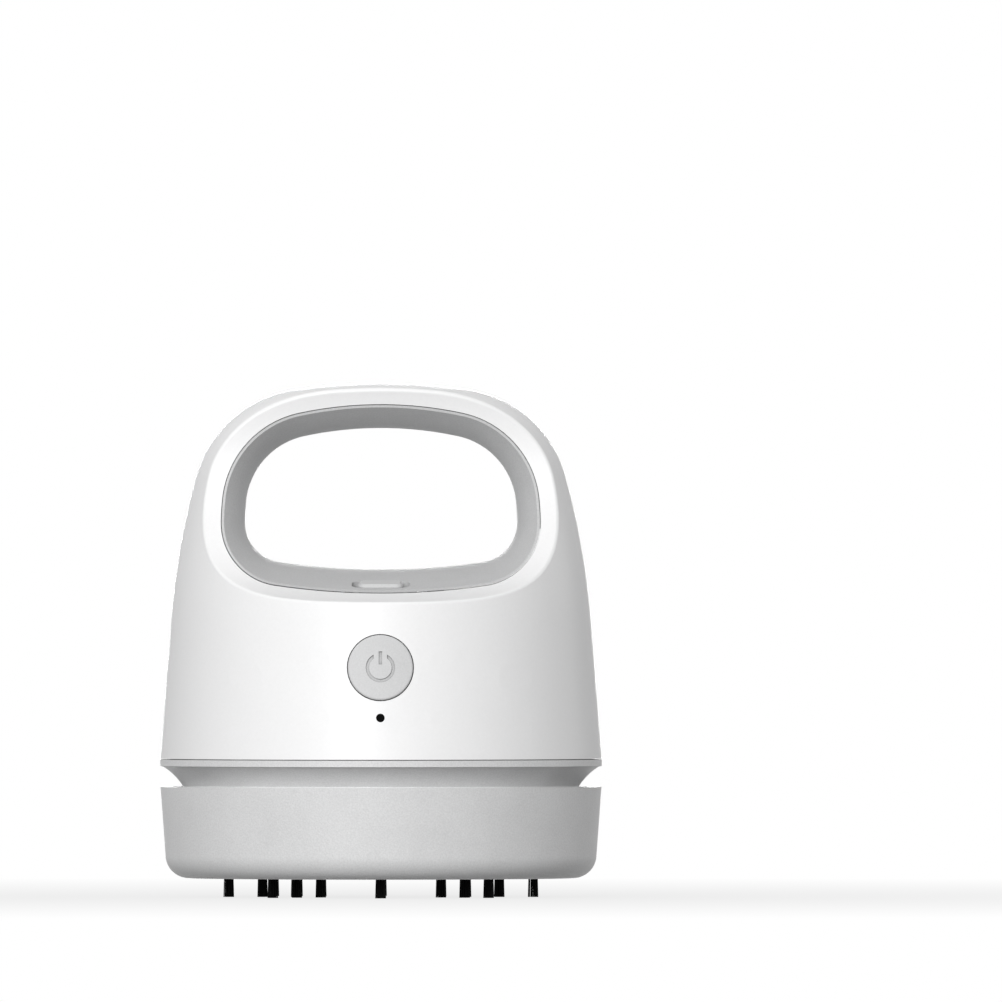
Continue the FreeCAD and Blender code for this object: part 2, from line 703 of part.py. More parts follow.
def rounded_block(length, width, corner, low, high):
    """A block with round upright corners, centred on the z axis."""
    block = Part.makeBox(length, width, high - low, V(-length / 2, -width / 2, low))
    uprights = [edge for edge in block.Edges if abs(edge.tangentAt(0).z) > 0.5]
    return block.makeFillet(corner, uprights)


def switch_window():
    """The window that the slide knob stands in."""
    deep = mm("3 * liner_wall")
    corner = mm("window_corner")
    window = rounded_block(mm("window_length"), mm("window_width"), corner, -deep, deep)
    window.Placement = switch_frame()
    return window


def knob_room():
    """The room that the knob's plate needs over its whole travel."""
    length = mm("knob_plate_length + 2 * knob_travel + 2 * knob_clearance")
    width = mm("knob_plate_width + 2 * knob_clearance")
    low = mm("-liner_wall - knob_plate_thickness - 2 * knob_clearance")
    room = Part.makeBox(length, width, mm("-liner_wall") - low, V(-length / 2, -width / 2, low))
    room.Placement = switch_frame()
    return room


def handle_liner():
    half = liner_half()
    whole = half.fuse(half.mirror(V(0, 0, 0), Y_WAY)).removeSplitter()
    frame = switch_frame()
    whole = whole.cut(switch_window())
    length = mm("knob_clearance * 2 + knob_plate_thickness + switch_height + liner_wall / 2")
    for side in (-1, 1):
        top = V(side * mm("switch_post_spread"), 0, -mm("liner_wall / 2"))
        post = cylinder(mm("switch_post_radius"), top, -Z_WAY, length)
        pilot = cylinder(mm("screw_radius"), top - Z_WAY * (length / 2), -Z_WAY, length)
        post = post.cut(pilot)
        post.Placement = frame
        whole = whole.fuse(post)
    solid_node("handle_liner", whole)


def boss_places():
    """Housing screws as x, z pairs."""
    return [(side * mm("boss_spread"), mm("boss_height")) for side in (-1, 1)]


def pin_places():
    """Locating pins in the arch of the handle as x, z pairs."""
    return [(side * mm("pin_spread"), mm("pin_height")) for side in (-1, 1)]


def neck_screw_places():
    return ring_places(mm("neck_screw_ring"), int(mm("neck_screw_count")), 45)


def neck_bosses(side, form):
    """Bosses and webs that take the neck screws, on one half of the housing."""
    bottom = mm("deck_top + screw_fit")
    found = []
    for place in neck_screw_places():
        if place.y * side < 0:
            continue
        foot = place + Z_WAY * bottom
        boss = cylinder(mm("boss_radius"), foot, Z_WAY, mm("neck_boss_top") - bottom)
        thick = mm("web_thickness")
        web_bottom = mm("bell_foot + spigot_height") + mm("parting_gap")
        web = Part.makeBox(
            mm("bell_radius") - mm("neck_screw_ring"),
            thick,
            mm("neck_boss_top") - web_bottom,
            V(mm("neck_screw_ring"), -thick / 2, web_bottom),
        )
        web.rotate(V(0, 0, 0), Z_WAY, math.degrees(math.atan2(place.y, place.x)))
        web = web.common(form)
        pilot = cylinder(mm("screw_radius"), foot, Z_WAY, mm("8 * screw_radius"))
        found.append(boss.fuse(web).cut(pilot))
    return found


def shell_half(side):
    """One half of the housing without its own details."""
    form = bell_outer.cut([scoop(-1, 0), scoop(1, 0)])
    creases = [edge for edge in form.Edges if is_crease(edge)]
    form = form.makeFillet(mm("crease_radius"), creases)
    wall = mm("shell_wall")
    hollow = bell_hollow.cut([scoop(-1, wall), scoop(1, wall)])
    half = form.cut(hollow).cut(opening_prism(mm("liner_flare"))).common(half_space(side))
    return half, form


def is_crease(edge):
    """Whether an edge runs between a scoop and the bell."""
    try:
        return edge.Curve.TypeId == "Part::GeomBSplineCurve"
    except TypeError:
        return False


def front_shell():
    half, form = shell_half(-1)
    wall_reach = mm("bell_radius")
    posts = []
    holes = [switch_window(), knob_room()]
    for x, z in boss_places():
        start = V(x, -mm("half_gap") / 2, z)
        posts.append(cylinder(mm("boss_radius"), start, -Y_WAY, wall_reach))
        holes.append(cylinder(mm("screw_radius"), start, -Y_WAY, mm("thread_length")))
    for x, z in pin_places():
        start = V(x, -mm("half_gap") / 2, z)
        posts.append(cylinder(mm("boss_radius"), start, -Y_WAY, wall_reach))
        depth = mm("pin_length + screw_fit")
        holes.append(cylinder(mm("pin_radius + screw_fit"), start, -Y_WAY, depth))
    for x, z in board_screw_places():
        start = V(x, -mm("board_front"), z)
        posts.append(cylinder(mm("2 * screw_radius"), start, -Y_WAY, wall_reach))
        holes.append(cylinder(mm("screw_radius"), start, -Y_WAY, mm("3 * screw_radius")))
    seat = V(0, -mm("button_seat"), mm("button_height"))
    posts.append(cylinder(mm("button_radius + button_flange"), seat, -Y_WAY, wall_reach))
    bore_start = V(0, -mm("board_front"), mm("button_height"))
    holes.append(cylinder(mm("button_radius + button_gap"), bore_start, -Y_WAY, wall_reach))
    lamp_start = V(0, -mm("board_front"), mm("lamp_height"))
    holes.append(cylinder(mm("lamp_radius + lamp_fit"), lamp_start, -Y_WAY, wall_reach))
    posts = [post.common(form) for post in posts] + neck_bosses(-1, form)
    shape = half.fuse(posts).cut(holes).cut(opening_prism(mm("liner_flare")))
    solid_node("front_shell", shape.removeSplitter())


def stadium(length, width, depth, start, way):
    """A slot with round ends; its length lies along X when it runs along Y."""
    straight = length - width
    ends = [
        cylinder(width / 2, start + X_WAY * (side * straight / 2), way, depth) for side in (-1, 1)
    ]
    middle = Part.makeBox(straight, depth, width, start - V(straight / 2, 0, width / 2))
    return middle.fuse(ends).removeSplitter()


def vent_slots():
    """Upright exhaust slots with round ends, fanned round the rear wall."""
    width = mm("vent_width")
    height = mm("vent_height")
    inner = mm("bell_radius") - mm("4 * shell_wall")
    depth = mm("8 * shell_wall")
    count = int(mm("vent_count"))
    for index in range(count):
        bottom = V(0, inner, mm("vent_bottom") + width / 2)
        slot = Part.makeBox(width, depth, height - width, bottom - X_WAY * (width / 2))
        ends = [
            cylinder(width / 2, bottom, Y_WAY, depth),
            cylinder(width / 2, bottom + Z_WAY * (height - width), Y_WAY, depth),
        ]
        slot = slot.fuse(ends)
        slot.rotate(V(0, 0, 0), Z_WAY, mm("vent_pitch") * (index - (count - 1) / 2))
        yield slot


def rear_shell():
    half, form = shell_half(1)
    posts = []
    holes = list(vent_slots())
    for x, z in boss_places():
        start = V(x, mm("half_gap") / 2, z)
        posts.append(cylinder(mm("boss_radius"), start, Y_WAY, mm("bell_radius")))
        holes.append(cylinder(mm("screw_radius + screw_fit"), start, Y_WAY, mm("bell_radius")))
        recess = V(x, mm("recess_floor"), z)
        holes.append(cylinder(mm("recess_radius"), recess, Y_WAY, mm("bell_radius")))
    pins = []
    for x, z in pin_places():
        start = V(x, mm("half_gap") / 2, z)
        posts.append(cylinder(mm("boss_radius"), start, Y_WAY, mm("bell_radius")))
        tip = V(x, -mm("pin_length"), z)
        pins.append(cylinder(mm("pin_radius"), tip, Y_WAY, mm("2 * pin_length")))
    gap = mm("2 * port_gap")
    port_start = V(0, mm("bell_radius - 4 * shell_wall"), mm("port_height"))
    depth = mm("8 * shell_wall")
    port = stadium(mm("port_width") + gap, mm("port_thickness") + gap, depth, port_start, Y_WAY)
    holes.append(port)
    posts = [post.common(form) for post in posts] + neck_bosses(1, form) + pins
    shape = half.fuse(posts).cut(holes).cut(opening_prism(mm("liner_flare")))
    solid_node("rear_shell", shape.removeSplitter())


def shell_screws():
    length = mm("recess_floor + thread_length - screw_radius")
    screws = [
        screw(V(x, mm("recess_floor") - length, z), Y_WAY, length) for x, z in boss_places()
    ]
    solid_node("shell_screws", Part.Compound(screws))


# ---- neck ring ----


def neck_ring_corners():
    """Half section of the neck ring with its fan deck and the plug inside the bowl."""
    lip_top = "bell_foot - parting_gap"
    lip_low = f"{lip_top} - neck_lip_height"
    inner = "neck_radius - neck_wall"
    spigot = "bell_radius - shell_wall / cos(draft_angle * 1deg) - plate_fit"
    spigot_top = "bell_foot + spigot_height"
    spigot_lean = f"{spigot} - (spigot_height + parting_gap) * tan(draft_angle * 1deg)"
    plug_top = "cove_foot - plug_drop"
    return (
        ("eye_radius", "deck_top - deck_thickness"),
        ("plug_radius - plug_wall", "deck_top - deck_thickness"),
        ("plug_radius - plug_wall", "plug_bottom"),
        ("plug_radius", "plug_bottom"),
        ("plug_radius", plug_top),
        ("neck_radius", plug_top),
        ("neck_radius", "cove_foot"),
        ("neck_lip_radius - neck_lip_step", "cove_foot + cove_height", "cove_radius", -1),
        ("neck_lip_radius", lip_low),
        ("neck_lip_radius", lip_top),
        (spigot, lip_top),
        (spigot_lean, spigot_top),
        (f"{spigot_lean} - spigot_wall", spigot_top),
        (inner, f"{lip_low} - neck_lip_height"),
        (inner, "deck_top"),
        ("eye_radius", "deck_top"),
    )


def bayonet_lug(sketch):
    root = "plug_radius - plug_wall / 2"
    sector(sketch, root, "lug_radius", "90 - lug_half_angle", "90 + lug_half_angle")


def neck_ring_holes():
    """Screw holes in the fan deck and in the posts of the charging board."""
    gap = mm("screw_fit")
    deck = mm("deck_thickness")
    top = Z_WAY * mm("deck_top")
    radius = mm("screw_radius")
    holes = [
        countersink(place + top + Z_WAY * gap, -Z_WAY, deck + gap) for place in neck_screw_places()
    ]
    holes += [cylinder(radius, place + top, -Z_WAY, deck) for place in ear_places()]
    holes += [cylinder(radius, place, -Z_WAY, 3 * radius) for place in charge_screw_places()]
    return holes


def neck_ring():
    body = part_body("neck_ring")
    turn(body, neck_ring_corners())
    first = pad(body, "XY_Plane", "lug_bottom", "lug_height", bayonet_lug)
    around(body, [first], "lug_count", grows=True)

    def posts(sketch):
        for x in charge_screw_x:
            circle(sketch, x, charge_screw_y, "charge_post_radius")

    pad(body, "XY_Plane", "deck_top", f"{charge_top} - charge_board_thickness - deck_top", posts)
    body.Label = "neck_ring_blank"
    solid_node("neck_ring", body.Shape.cut(neck_ring_holes()))


def neck_screws():
    grip = mm("6 * screw_radius")
    tip = Z_WAY * (mm("deck_top") + grip)
    length = grip + mm("deck_thickness")
    screws = [countersunk(place + tip, -Z_WAY, length) for place in neck_screw_places()]
    solid_node("neck_screws", Part.Compound(screws))


# ---- dust bowl, brush plate and inlet ----


def dust_bowl():
    body = part_body("dust_bowl")
    foot_radius = "bowl_radius - bowl_lean"
    recess_top = "bowl_bottom + plate_thickness + plate_fit"
    floor_top = f"{recess_top} + floor_thickness"
    turn(
        body,
        (
            ("inlet_radius + riser_wall + plate_fit", recess_top),
            ("plate_radius + plate_fit", recess_top),
            ("plate_radius + plate_fit", "bowl_bottom"),
            (f"{foot_radius} - bowl_corner", "bowl_bottom"),
            (foot_radius, "bowl_bottom + bowl_corner", "bowl_corner", 1),
            ("bowl_radius", "bowl_rim"),
            ("bowl_bore", "bowl_rim"),
            ("bowl_bore", "bowl_rim - bore_depth"),
            ("bowl_inner_foot", f"{floor_top} + inner_corner"),
            ("bowl_inner_foot - inner_corner", floor_top, "inner_corner", 1),
            ("inlet_radius + riser_wall + plate_fit", floor_top),
        ),
    )
    inner = "bowl_bore - lug_clearance"
    outer = "lug_radius + lug_clearance"
    slack = "lug_half_angle + lug_clearance / lug_radius * 180 / pi"
    entry = pocket(
        body,
        "XY_Plane",
        "lug_bottom - lug_clearance",
        "bowl_rim - lug_bottom + 2 * lug_clearance",
        lambda sketch: sector(sketch, inner, outer, f"90 - ({slack})", f"90 + {slack}"),
    )
    run = pocket(
        body,
        "XY_Plane",
        "lug_bottom - lug_clearance",
        "lug_height + 2 * lug_clearance",
        lambda sketch: sector(
            sketch, inner, outer, f"90 - lock_angle - ({slack})", f"90 + {slack}"
        ),
    )
    around(body, [entry, run], "lug_count", grows=False)
    depth = mm("floor_thickness + plate_thickness")
    holes = [cylinder(mm("screw_radius"), place, Z_WAY, depth) for place in plate_screw_places()]
    body.Label = "dust_bowl_blank"
    solid_node("dust_bowl", body.Shape.cut(holes))


def plate_screw_places():
    for place in ring_places(mm("plate_screw_ring"), int(mm("plate_screw_count")), 45):
        yield place + Z_WAY * mm("bowl_bottom")


def tuft_circles(sketch, radius):
    for ring in ("tuft_ring_outer", "tuft_ring_middle", "tuft_ring_inner"):
        circle(sketch, "0", f"-{ring}", radius)


def brush_plate():
    body = part_body("brush_plate")

    def disc(sketch):
        circle(sketch, "0", "0", "plate_radius")
        circle(sketch, "0", "0", "inlet_radius + riser_wall + plate_fit")

    pad(body, "XY_Plane", "bowl_bottom", "plate_thickness", disc)
    holes = pocket(
        body,
        "XY_Plane",
        "bowl_bottom",
        "tuft_root + tuft_fit",
        lambda sketch: tuft_circles(sketch, "tuft_radius + tuft_fit"),
    )
    around(body, [holes], "tuft_count", grows=False)
    shape = body.Shape
    length = mm("plate_thickness")
    sinks = [
        countersink(place + Z_WAY * length, -Z_WAY, length) for place in plate_screw_places()
    ]
    body.Label = "brush_plate_blank"
    solid_node("brush_plate", shape.cut(sinks))


def plate_screws():
    length = mm("plate_thickness + floor_thickness")
    screws = [countersunk(place + Z_WAY * length, -Z_WAY, length) for place in plate_screw_places()]
    solid_node("plate_screws", Part.Compound(screws))


def brush_tufts():
    body = part_body("brush_tufts", several=True)
    tufts = pad(
        body,
        "XY_Plane",
        "0",
        "bowl_bottom + tuft_root",
        lambda sketch: tuft_circles(sketch, "tuft_radius"),
    )
    around(body, [tufts], "tuft_count", grows=True)
    node(body)


def inlet_riser():
    body = part_body("inlet_riser")
    outer = "inlet_radius + riser_wall"
    floor_top = "bowl_bottom + plate_thickness + plate_fit + floor_thickness"
    flange_top = f"{floor_top} + flange_thickness"
    turn(
        body,
        (
            ("inlet_radius", "bowl_bottom"),
            (outer, "bowl_bottom"),
            (outer, floor_top),
            ("riser_flange", floor_top),
            ("riser_flange", flange_top),
            (outer, flange_top),
            (outer, "riser_top"),
            ("inlet_radius", "riser_top"),
        ),
    )
    node(body)


# ---- filter ----


def filter_frame():
    body = part_body("filter_frame")
    collar_top = "plug_bottom - collar_gap"
    groove_middle = f"(frame_bottom + {collar_top}) / 2"
    groove_low = f"{groove_middle} - groove_height / 2"
    groove_high = f"{groove_middle} + groove_height / 2"
    bore = "frame_radius - frame_wall"
    turn(
        body,
        (
            (f"{bore} - ledge_width", "frame_bottom"),
            ("collar_radius", "frame_bottom"),
            ("collar_radius", groove_low),
            ("collar_radius - groove_depth", groove_low),
            ("collar_radius - groove_depth", groove_high),
            ("collar_radius", groove_high),
            ("collar_radius", collar_top),
            ("frame_radius", collar_top),
            ("frame_radius", "frame_top"),
            (bore, "frame_top"),
            (bore, "frame_bottom + ledge_thickness"),
            (f"{bore} - ledge_width", "frame_bottom + ledge_thickness"),
        ),
    )

    def spoke(sketch):
        reach = f"{bore} - ledge_width / 2"
        rectangle(sketch, "-spoke_width / 2", "spoke_width / 2", "0", reach)

    first = pad(body, "XY_Plane", "frame_bottom", "ledge_thickness", spoke)
    around(body, [first], "spoke_count", grows=True)
    node(body)


def seal_ring():
    ring = doc.addObject("Part::Torus", "seal_ring")
    ring.Label = "seal_ring"
    ring.setExpression("Radius1", bound("bowl_bore - seal_gap - seal_section"))
    ring.setExpression("Radius2", bound("seal_section"))
    middle = "(frame_bottom + plug_bottom - collar_gap) / 2"
    ring.setExpression("Placement.Base.z", bound(middle))
    node(ring)


def filter_mesh():
    body = part_body("filter_mesh")
    radius = "frame_radius - frame_wall - mesh_fit"
    pad(
        body,
        "XY_Plane",
        "frame_bottom + ledge_thickness",
        "mesh_thickness",
        lambda sketch: circle(sketch, "0", "0", radius),
    )
    node(body)


def filter_pleats():
    """Folded paper: a zigzag band across the frame, trimmed to the frame's bore."""
    count = int(mm("pleat_count"))
    radius = mm("frame_radius - frame_wall - mesh_fit")
    low = mm("frame_bottom + ledge_thickness + mesh_thickness + mesh_fit")
    high = low + mm("pleat_height")
    paper = mm("pleat_paper")
    pitch = 2 * radius / count
    lower = []
    for index in range(2 * count + 1):
        height = low if index % 2 == 0 else high - paper
        lower.append(V(-radius + index * pitch / 2, -radius, height))
    upper = [place + Z_WAY * paper for place in reversed(lower)]
    band = Part.Face(Part.makePolygon(lower + upper + lower[:1])).extrude(V(0, 2 * radius, 0))
    bore = cylinder(radius, V(0, 0, low), Z_WAY, high - low)
    solid_node("filter_pleats", band.common(bore))


# ---- fan and motor ----


def ear_places():
    """Ears round the fan housing, one for each of its screws."""
    radius = mm("fan_radius + ear_radius - ear_overlap")
    return ring_places(radius, int(mm("ear_count")), 90)


def fan_housing():
    body = part_body("fan_housing")
    base = "deck_top + screw_fit"
    top = "deck_top + fan_height"
    turn(
        body,
        (
            ("fan_radius - fan_wall", base),
            ("fan_radius", base),
            ("fan_radius", top),
            ("motor_boss + screw_fit", top),
            ("motor_boss + screw_fit", f"{top} - fan_wall"),
            ("fan_radius - fan_wall", f"{top} - fan_wall"),
        ),
    )

    def outlet(sketch):
        low = f"{base} + outlet_height / 2"
        high = f"{low} + outlet_height"
        rectangle(sketch, "-outlet_width / 2", "outlet_width / 2", low, high)

    first = pocket(body, "XZ_Plane", "fan_radius - 3 * fan_wall", "4 * fan_wall", outlet)
    around(body, [first], "outlet_count", grows=False)
    shape = body.Shape
    body.Label = "fan_housing_blank"
    bore = cylinder(mm("fan_radius - fan_wall / 2"), V(0, 0, 0), Z_WAY, mm(top))
    ears = []
    holes = []
    for place in ear_places():
        foot = place + Z_WAY * mm(base)
        ears.append(cylinder(mm("ear_radius"), foot, Z_WAY, mm("ear_thickness")).cut(bore))
        holes.append(cylinder(mm("screw_radius + screw_fit"), foot, Z_WAY, mm("ear_thickness")))
    plate_top = mm(top)
    for place in motor_screw_places():
        hole_top = place + Z_WAY * plate_top
        holes.append(countersink(hole_top, -Z_WAY, mm("fan_wall")))
    solid_node("fan_housing", shape.fuse(ears).cut(holes).removeSplitter())


def fan_screws():
    length = mm("ear_thickness + deck_thickness - screw_fit")
    tip = Z_WAY * (mm("deck_top + screw_fit + ear_thickness") - length)
    screws = [screw(place + tip, Z_WAY, length) for place in ear_places()]
    solid_node("fan_screws", Part.Compound(screws))


def motor_screw_places():
    return ring_places(mm("(motor_radius + motor_boss) / 2"), 2, 90)


def motor_screws():
    length = mm("fan_wall + can_wall + screw_radius")
    top = mm("deck_top + fan_height") + length - mm("fan_wall")
    screws = [
        countersunk(place + Z_WAY * top, -Z_WAY, length) for place in motor_screw_places()
    ]
    solid_node("motor_screws", Part.Compound(screws))


motor_base = "deck_top + fan_height + screw_fit"


def motor_can():
    body = part_body("motor_can")
    bore = "shaft_radius + shaft_clearance"
    floor = f"{motor_base} + can_wall"
    turn(
        body,
        (
            (bore, f"{motor_base} - fan_wall"),
            ("motor_boss", f"{motor_base} - fan_wall"),
            ("motor_boss", motor_base),
            ("motor_radius", motor_base),
            ("motor_radius", f"{motor_base} + motor_height"),
            ("motor_radius - can_wall", f"{motor_base} + motor_height"),
            ("motor_radius - can_wall", floor),
            (bore, floor),
        ),
    )
    shape = body.Shape
    body.Label = "motor_can_blank"
    radius = mm("screw_radius + screw_fit")
    base = Z_WAY * mm(motor_base)
    wall = mm("can_wall")
    holes = [cylinder(radius, place + base, Z_WAY, wall) for place in motor_screw_places()]
    solid_node("motor_can", shape.cut(holes))


def motor_end_cap():
    body = part_body("motor_end_cap")
    low = f"{motor_base} + motor_height"
    inner = "motor_radius - can_wall - screw_fit"
    step = "cap_height / 2"
    turn(
        body,
        (
            ("shaft_radius + shaft_clearance", f"{low} - {step}"),
            (inner, f"{low} - {step}"),
            (inner, low),
            ("motor_radius", low),
            ("motor_radius", f"{low} + {step}"),
            ("motor_boss", f"{low} + {step}"),
            ("motor_boss", f"{low} + cap_height"),
            ("shaft_radius + shaft_clearance", f"{low} + cap_height"),
        ),
    )
    node(body)


def motor_terminals():
    body = part_body("motor_terminals", several=True)
    low = f"{motor_base} + motor_height + cap_height / 2"

    def tabs(sketch):
        for side in ("-", ""):
            middle = f"{side}(motor_boss + terminal_spread)"
            rectangle(
                sketch,
                f"{middle} - terminal_width / 2",
                f"{middle} + terminal_width / 2",
                "-terminal_thickness / 2",
                "terminal_thickness / 2",
            )

    pad(body, "XY_Plane", low, "terminal_height", tabs)
    node(body)


def motor_magnets():
    body = part_body("motor_magnets", several=True)
    outer = "motor_radius - can_wall"
    middle = f"{motor_base} + can_wall + armature_start + armature_height / 2"

    def magnet(sketch):
        inner = f"{outer} - magnet_thickness"
        sector(sketch, inner, outer, "-magnet_half_angle", "magnet_half_angle")

    first = pad(body, "XY_Plane", f"{middle} - magnet_height / 2", "magnet_height", magnet)
    around(body, [first], "magnet_count", grows=True)
    node(body)


def armature():
    body = part_body("armature")
    radius = "motor_radius - can_wall - magnet_thickness - air_gap"
    low = f"{motor_base} + can_wall + armature_start"
    high = f"{low} + armature_height"
    brush_top = f"{motor_base} + motor_height - cap_height / 2 - air_gap"
    turn(
        body,
        (
            ("shaft_radius", low),
            (radius, low),
            (radius, high),
            ("commutator_radius", high),
            ("commutator_radius", brush_top),
            ("shaft_radius", brush_top),
        ),
    )

    def slot(sketch):
        rectangle(sketch, "-slot_width / 2", "slot_width / 2", low, high)

    depth = f"{radius} - commutator_radius - slot_width"
    first = pocket(body, "XZ_Plane", "commutator_radius + slot_width", depth, slot)
    around(body, [first], "armature_slots", grows=False)
    node(body)


def motor_shaft():
    shaft = doc.addObject("Part::Cylinder", "motor_shaft")
    shaft.Label = "motor_shaft"
    low = "deck_top + impeller_gap"
    high = f"{motor_base} + motor_height + cap_height"
    shaft.setExpression("Radius", bound("shaft_radius"))
    shaft.setExpression("Height", bound(f"{high} - ({low})"))
    shaft.setExpression("Placement.Base.z", bound(low))
    node(shaft)


def impeller():
    body = part_body("impeller")
    low = "deck_top + impeller_gap"
    high = "deck_top + fan_height - fan_wall - impeller_gap"
    plate = f"{high} - back_plate"
    turn(
        body,
        (
            ("shaft_radius", low),
            ("hub_radius", low),
            ("hub_radius", plate),
            ("impeller_radius", plate),
            ("impeller_radius", high),
            ("shaft_radius", high),
        ),
    )

    def blade(sketch):
        tip_x = "-blade_reach * sin(blade_sweep * 1deg)"
        tip_y = "blade_reach * cos(blade_sweep * 1deg)"
        outline(
            sketch,
            (
                ("0", "blade_start", "blade_curve", 1),
                ("0", "blade_start + blade_thickness"),
                (tip_x, f"{tip_y} + blade_thickness", "blade_curve", -1),
                (tip_x, tip_y),
            ),
        )

    first = pad(body, "XY_Plane", low, f"{high} - back_plate / 2 - ({low})", blade)
    around(body, [first], "blade_count", grows=True)
    node(body)


# ---- battery ----

cell_y = "motor_radius + cradle_gap + cradle_wall + cell_fit + cell_radius"
cell_z = "deck_top + fan_height + screw_fit + cradle_wall + cell_fit + cell_radius"


def battery_cell():
    """A cell that lies across the housing, with its raised contact."""
    body = part_body("battery_cell")
    turn(
        body,
        (
            ("0", "-cell_length / 2"),
            ("cell_radius", "-cell_length / 2"),
            ("cell_radius", "cell_length / 2 - contact_height"),
            ("cell_radius / 3", "cell_length / 2 - contact_height"),
            ("cell_radius / 3", "cell_length / 2"),
            ("0", "cell_length / 2"),
        ),
    )
    body.Placement = FreeCAD.Placement(V(0, 0, 0), FreeCAD.Rotation(Y_WAY, 90))
    body.setExpression("Placement.Base.y", bound(cell_y))
    body.setExpression("Placement.Base.z", bound(cell_z))
    node(body)


def battery_cradle():
    """A tray with a round bed, end walls and two contact springs' slots."""
    wall = mm("cradle_wall")
    fit = mm("cell_fit")
    radius = mm("cell_radius")
    length = mm("cell_length") + 2 * fit
    y, z = mm(cell_y), mm(cell_z)
    half = radius + fit + wall
    low = V(-length / 2 - wall, y - half, z - half)
    tray = Part.makeBox(length + 2 * wall, 2 * half, half, low)
    bed = cylinder(radius + fit, V(-length / 2, y, z), X_WAY, length)
    solid_node("battery_cradle", tray.cut(bed))


# ---- button, lamp and main board ----


def board_screw_places():
    inset = mm("board_screw_inset")
    for side in (-1, 1):
        for height in (mm("board_bottom") + inset, mm("board_top") - inset):
            yield side * (mm("board_half_width") - inset), height


def main_board():
    body = part_body("main_board")

    def board(sketch):
        rectangle(sketch, "-board_half_width", "board_half_width", "board_bottom", "board_top")
        for side in ("-", ""):
            x = f"{side}(board_half_width - board_screw_inset)"
            for z in ("board_bottom + board_screw_inset", "board_top - board_screw_inset"):
                circle(sketch, x, z, "screw_radius + screw_fit")

    pad(body, "XZ_Plane", "board_front - board_thickness", "board_thickness", board)
    node(body)


def board_screws():
    length = mm("board_thickness + 2 * screw_radius")
    screws = []
    for x, z in board_screw_places():
        tip = V(x, -mm("board_front - board_thickness") - length, z)
        screws.append(screw(tip, Y_WAY, length))
    solid_node("board_screws", Part.Compound(screws))


def tact_switch():
    body = part_body("tact_switch")

    def square(sketch):
        rectangle(
            sketch,
            "-tact_side / 2",
            "tact_side / 2",
            "button_height - tact_side / 2",
            "button_height + tact_side / 2",
        )

    pad(body, "XZ_Plane", "board_front", "tact_depth", square)
    pocket(
        body,
        "XZ_Plane",
        "board_front + tact_depth / 3",
        "tact_depth",
        lambda sketch: circle(sketch, "0", "button_height", "plunger_radius + seat_gap"),
    )
    node(body)


def tact_plunger():
    body = part_body("tact_plunger")
    start = "board_front + tact_depth / 3 + button_travel + seat_gap"
    end = "board_front + tact_depth + plunger_reach"
    pad(
        body,
        "XZ_Plane",
        start,
        f"{end} - ({start})",
        lambda sketch: circle(sketch, "0", "button_height", "plunger_radius"),
    )
    node(body)


def power_mark(reach):
    """A broken ring and a bar, the common sign for on and off."""
    depth = mm("button_radius")
    middle = V(0, -reach, mm("button_height"))
    width = mm("mark_width")
    radius = mm("mark_radius")
    ring = cylinder(radius + width / 2, middle, -Y_WAY, depth)
    ring = ring.cut(cylinder(radius - width / 2, middle, -Y_WAY, depth))
    gap_half = 2 * width
    gap = Part.makeBox(2 * gap_half, depth, 2 * radius, middle - V(gap_half, depth, 0))
    bar = Part.makeBox(width, depth, radius, middle + V(-width / 2, -depth, radius / 4))
    return ring.cut(gap).fuse(bar)


def power_button():
    z = mm("button_height")
    start = V(0, -mm("button_seat - seat_gap"), z)
    reach = mm("bell_radius")
    cap = cylinder(mm("button_radius"), start, -Y_WAY, reach).common(button_face)
    face_side = -mm("button_seat + shell_wall / 2")
    rim = [edge for edge in cap.Edges if edge.BoundBox.YMax < face_side]
    cap = cap.makeFillet(mm("button_proud"), rim)
    flange_back = mm("button_seat - seat_gap - button_flange + seat_gap * 2")
    flange = cylinder(
        mm("button_radius + button_flange"),
        V(0, -flange_back, z),
        -Y_WAY,
        mm("button_seat - seat_gap") - flange_back,
    )
    stem_end = mm("board_front + tact_depth + plunger_reach")
    stem = cylinder(mm("stem_radius"), V(0, -stem_end, z), -Y_WAY, flange_back - stem_end)
    mark = power_mark(mm("button_seat")).cut(button_floor)
    solid_node("power_button", cap.fuse([flange, stem]).cut(mark).removeSplitter())


def indicator_lens():
    """A light guide from the board's diode to the face of the housing."""
    z = mm("lamp_height")
    end = mm("board_front + led_height + seat_gap")
    guide = cylinder(mm("lamp_radius"), V(0, -end, z), -Y_WAY, mm("bell_radius"))
    guide = guide.common(bell_outer)
    seat = wall_distance(z + mm("lamp_collar"), mm("shell_wall")) - mm("seat_gap")
    thick = mm("lamp_collar_thickness")
    collar = cylinder(mm("lamp_collar"), V(0, thick - seat, z), -Y_WAY, thick)
    solid_node("indicator_lens", guide.fuse(collar).removeSplitter())


def indicator_led():
    body = part_body("indicator_led")
    pad(
        body,
        "XZ_Plane",
        "board_front",
        "led_height",
        lambda sketch: rectangle(
            sketch,
            "-led_size / 2",
            "led_size / 2",
            "lamp_height - led_size / 2",
            "lamp_height + led_size / 2",
        ),
    )
    node(body)


# ---- slide switch ----

knob_plate_top = "-(liner_wall + knob_clearance)"
switch_top = f"{knob_plate_top} - knob_plate_thickness - knob_clearance"
switch_low = f"{switch_top} - switch_height"


def centred(length, width):
    """A sketch rule: a rectangle centred on the origin."""

    def draw(sketch):
        rectangle(
            sketch,
            f"-({length}) / 2",
            f"({length}) / 2",
            f"-({width}) / 2",
            f"({width}) / 2",
        )

    return draw


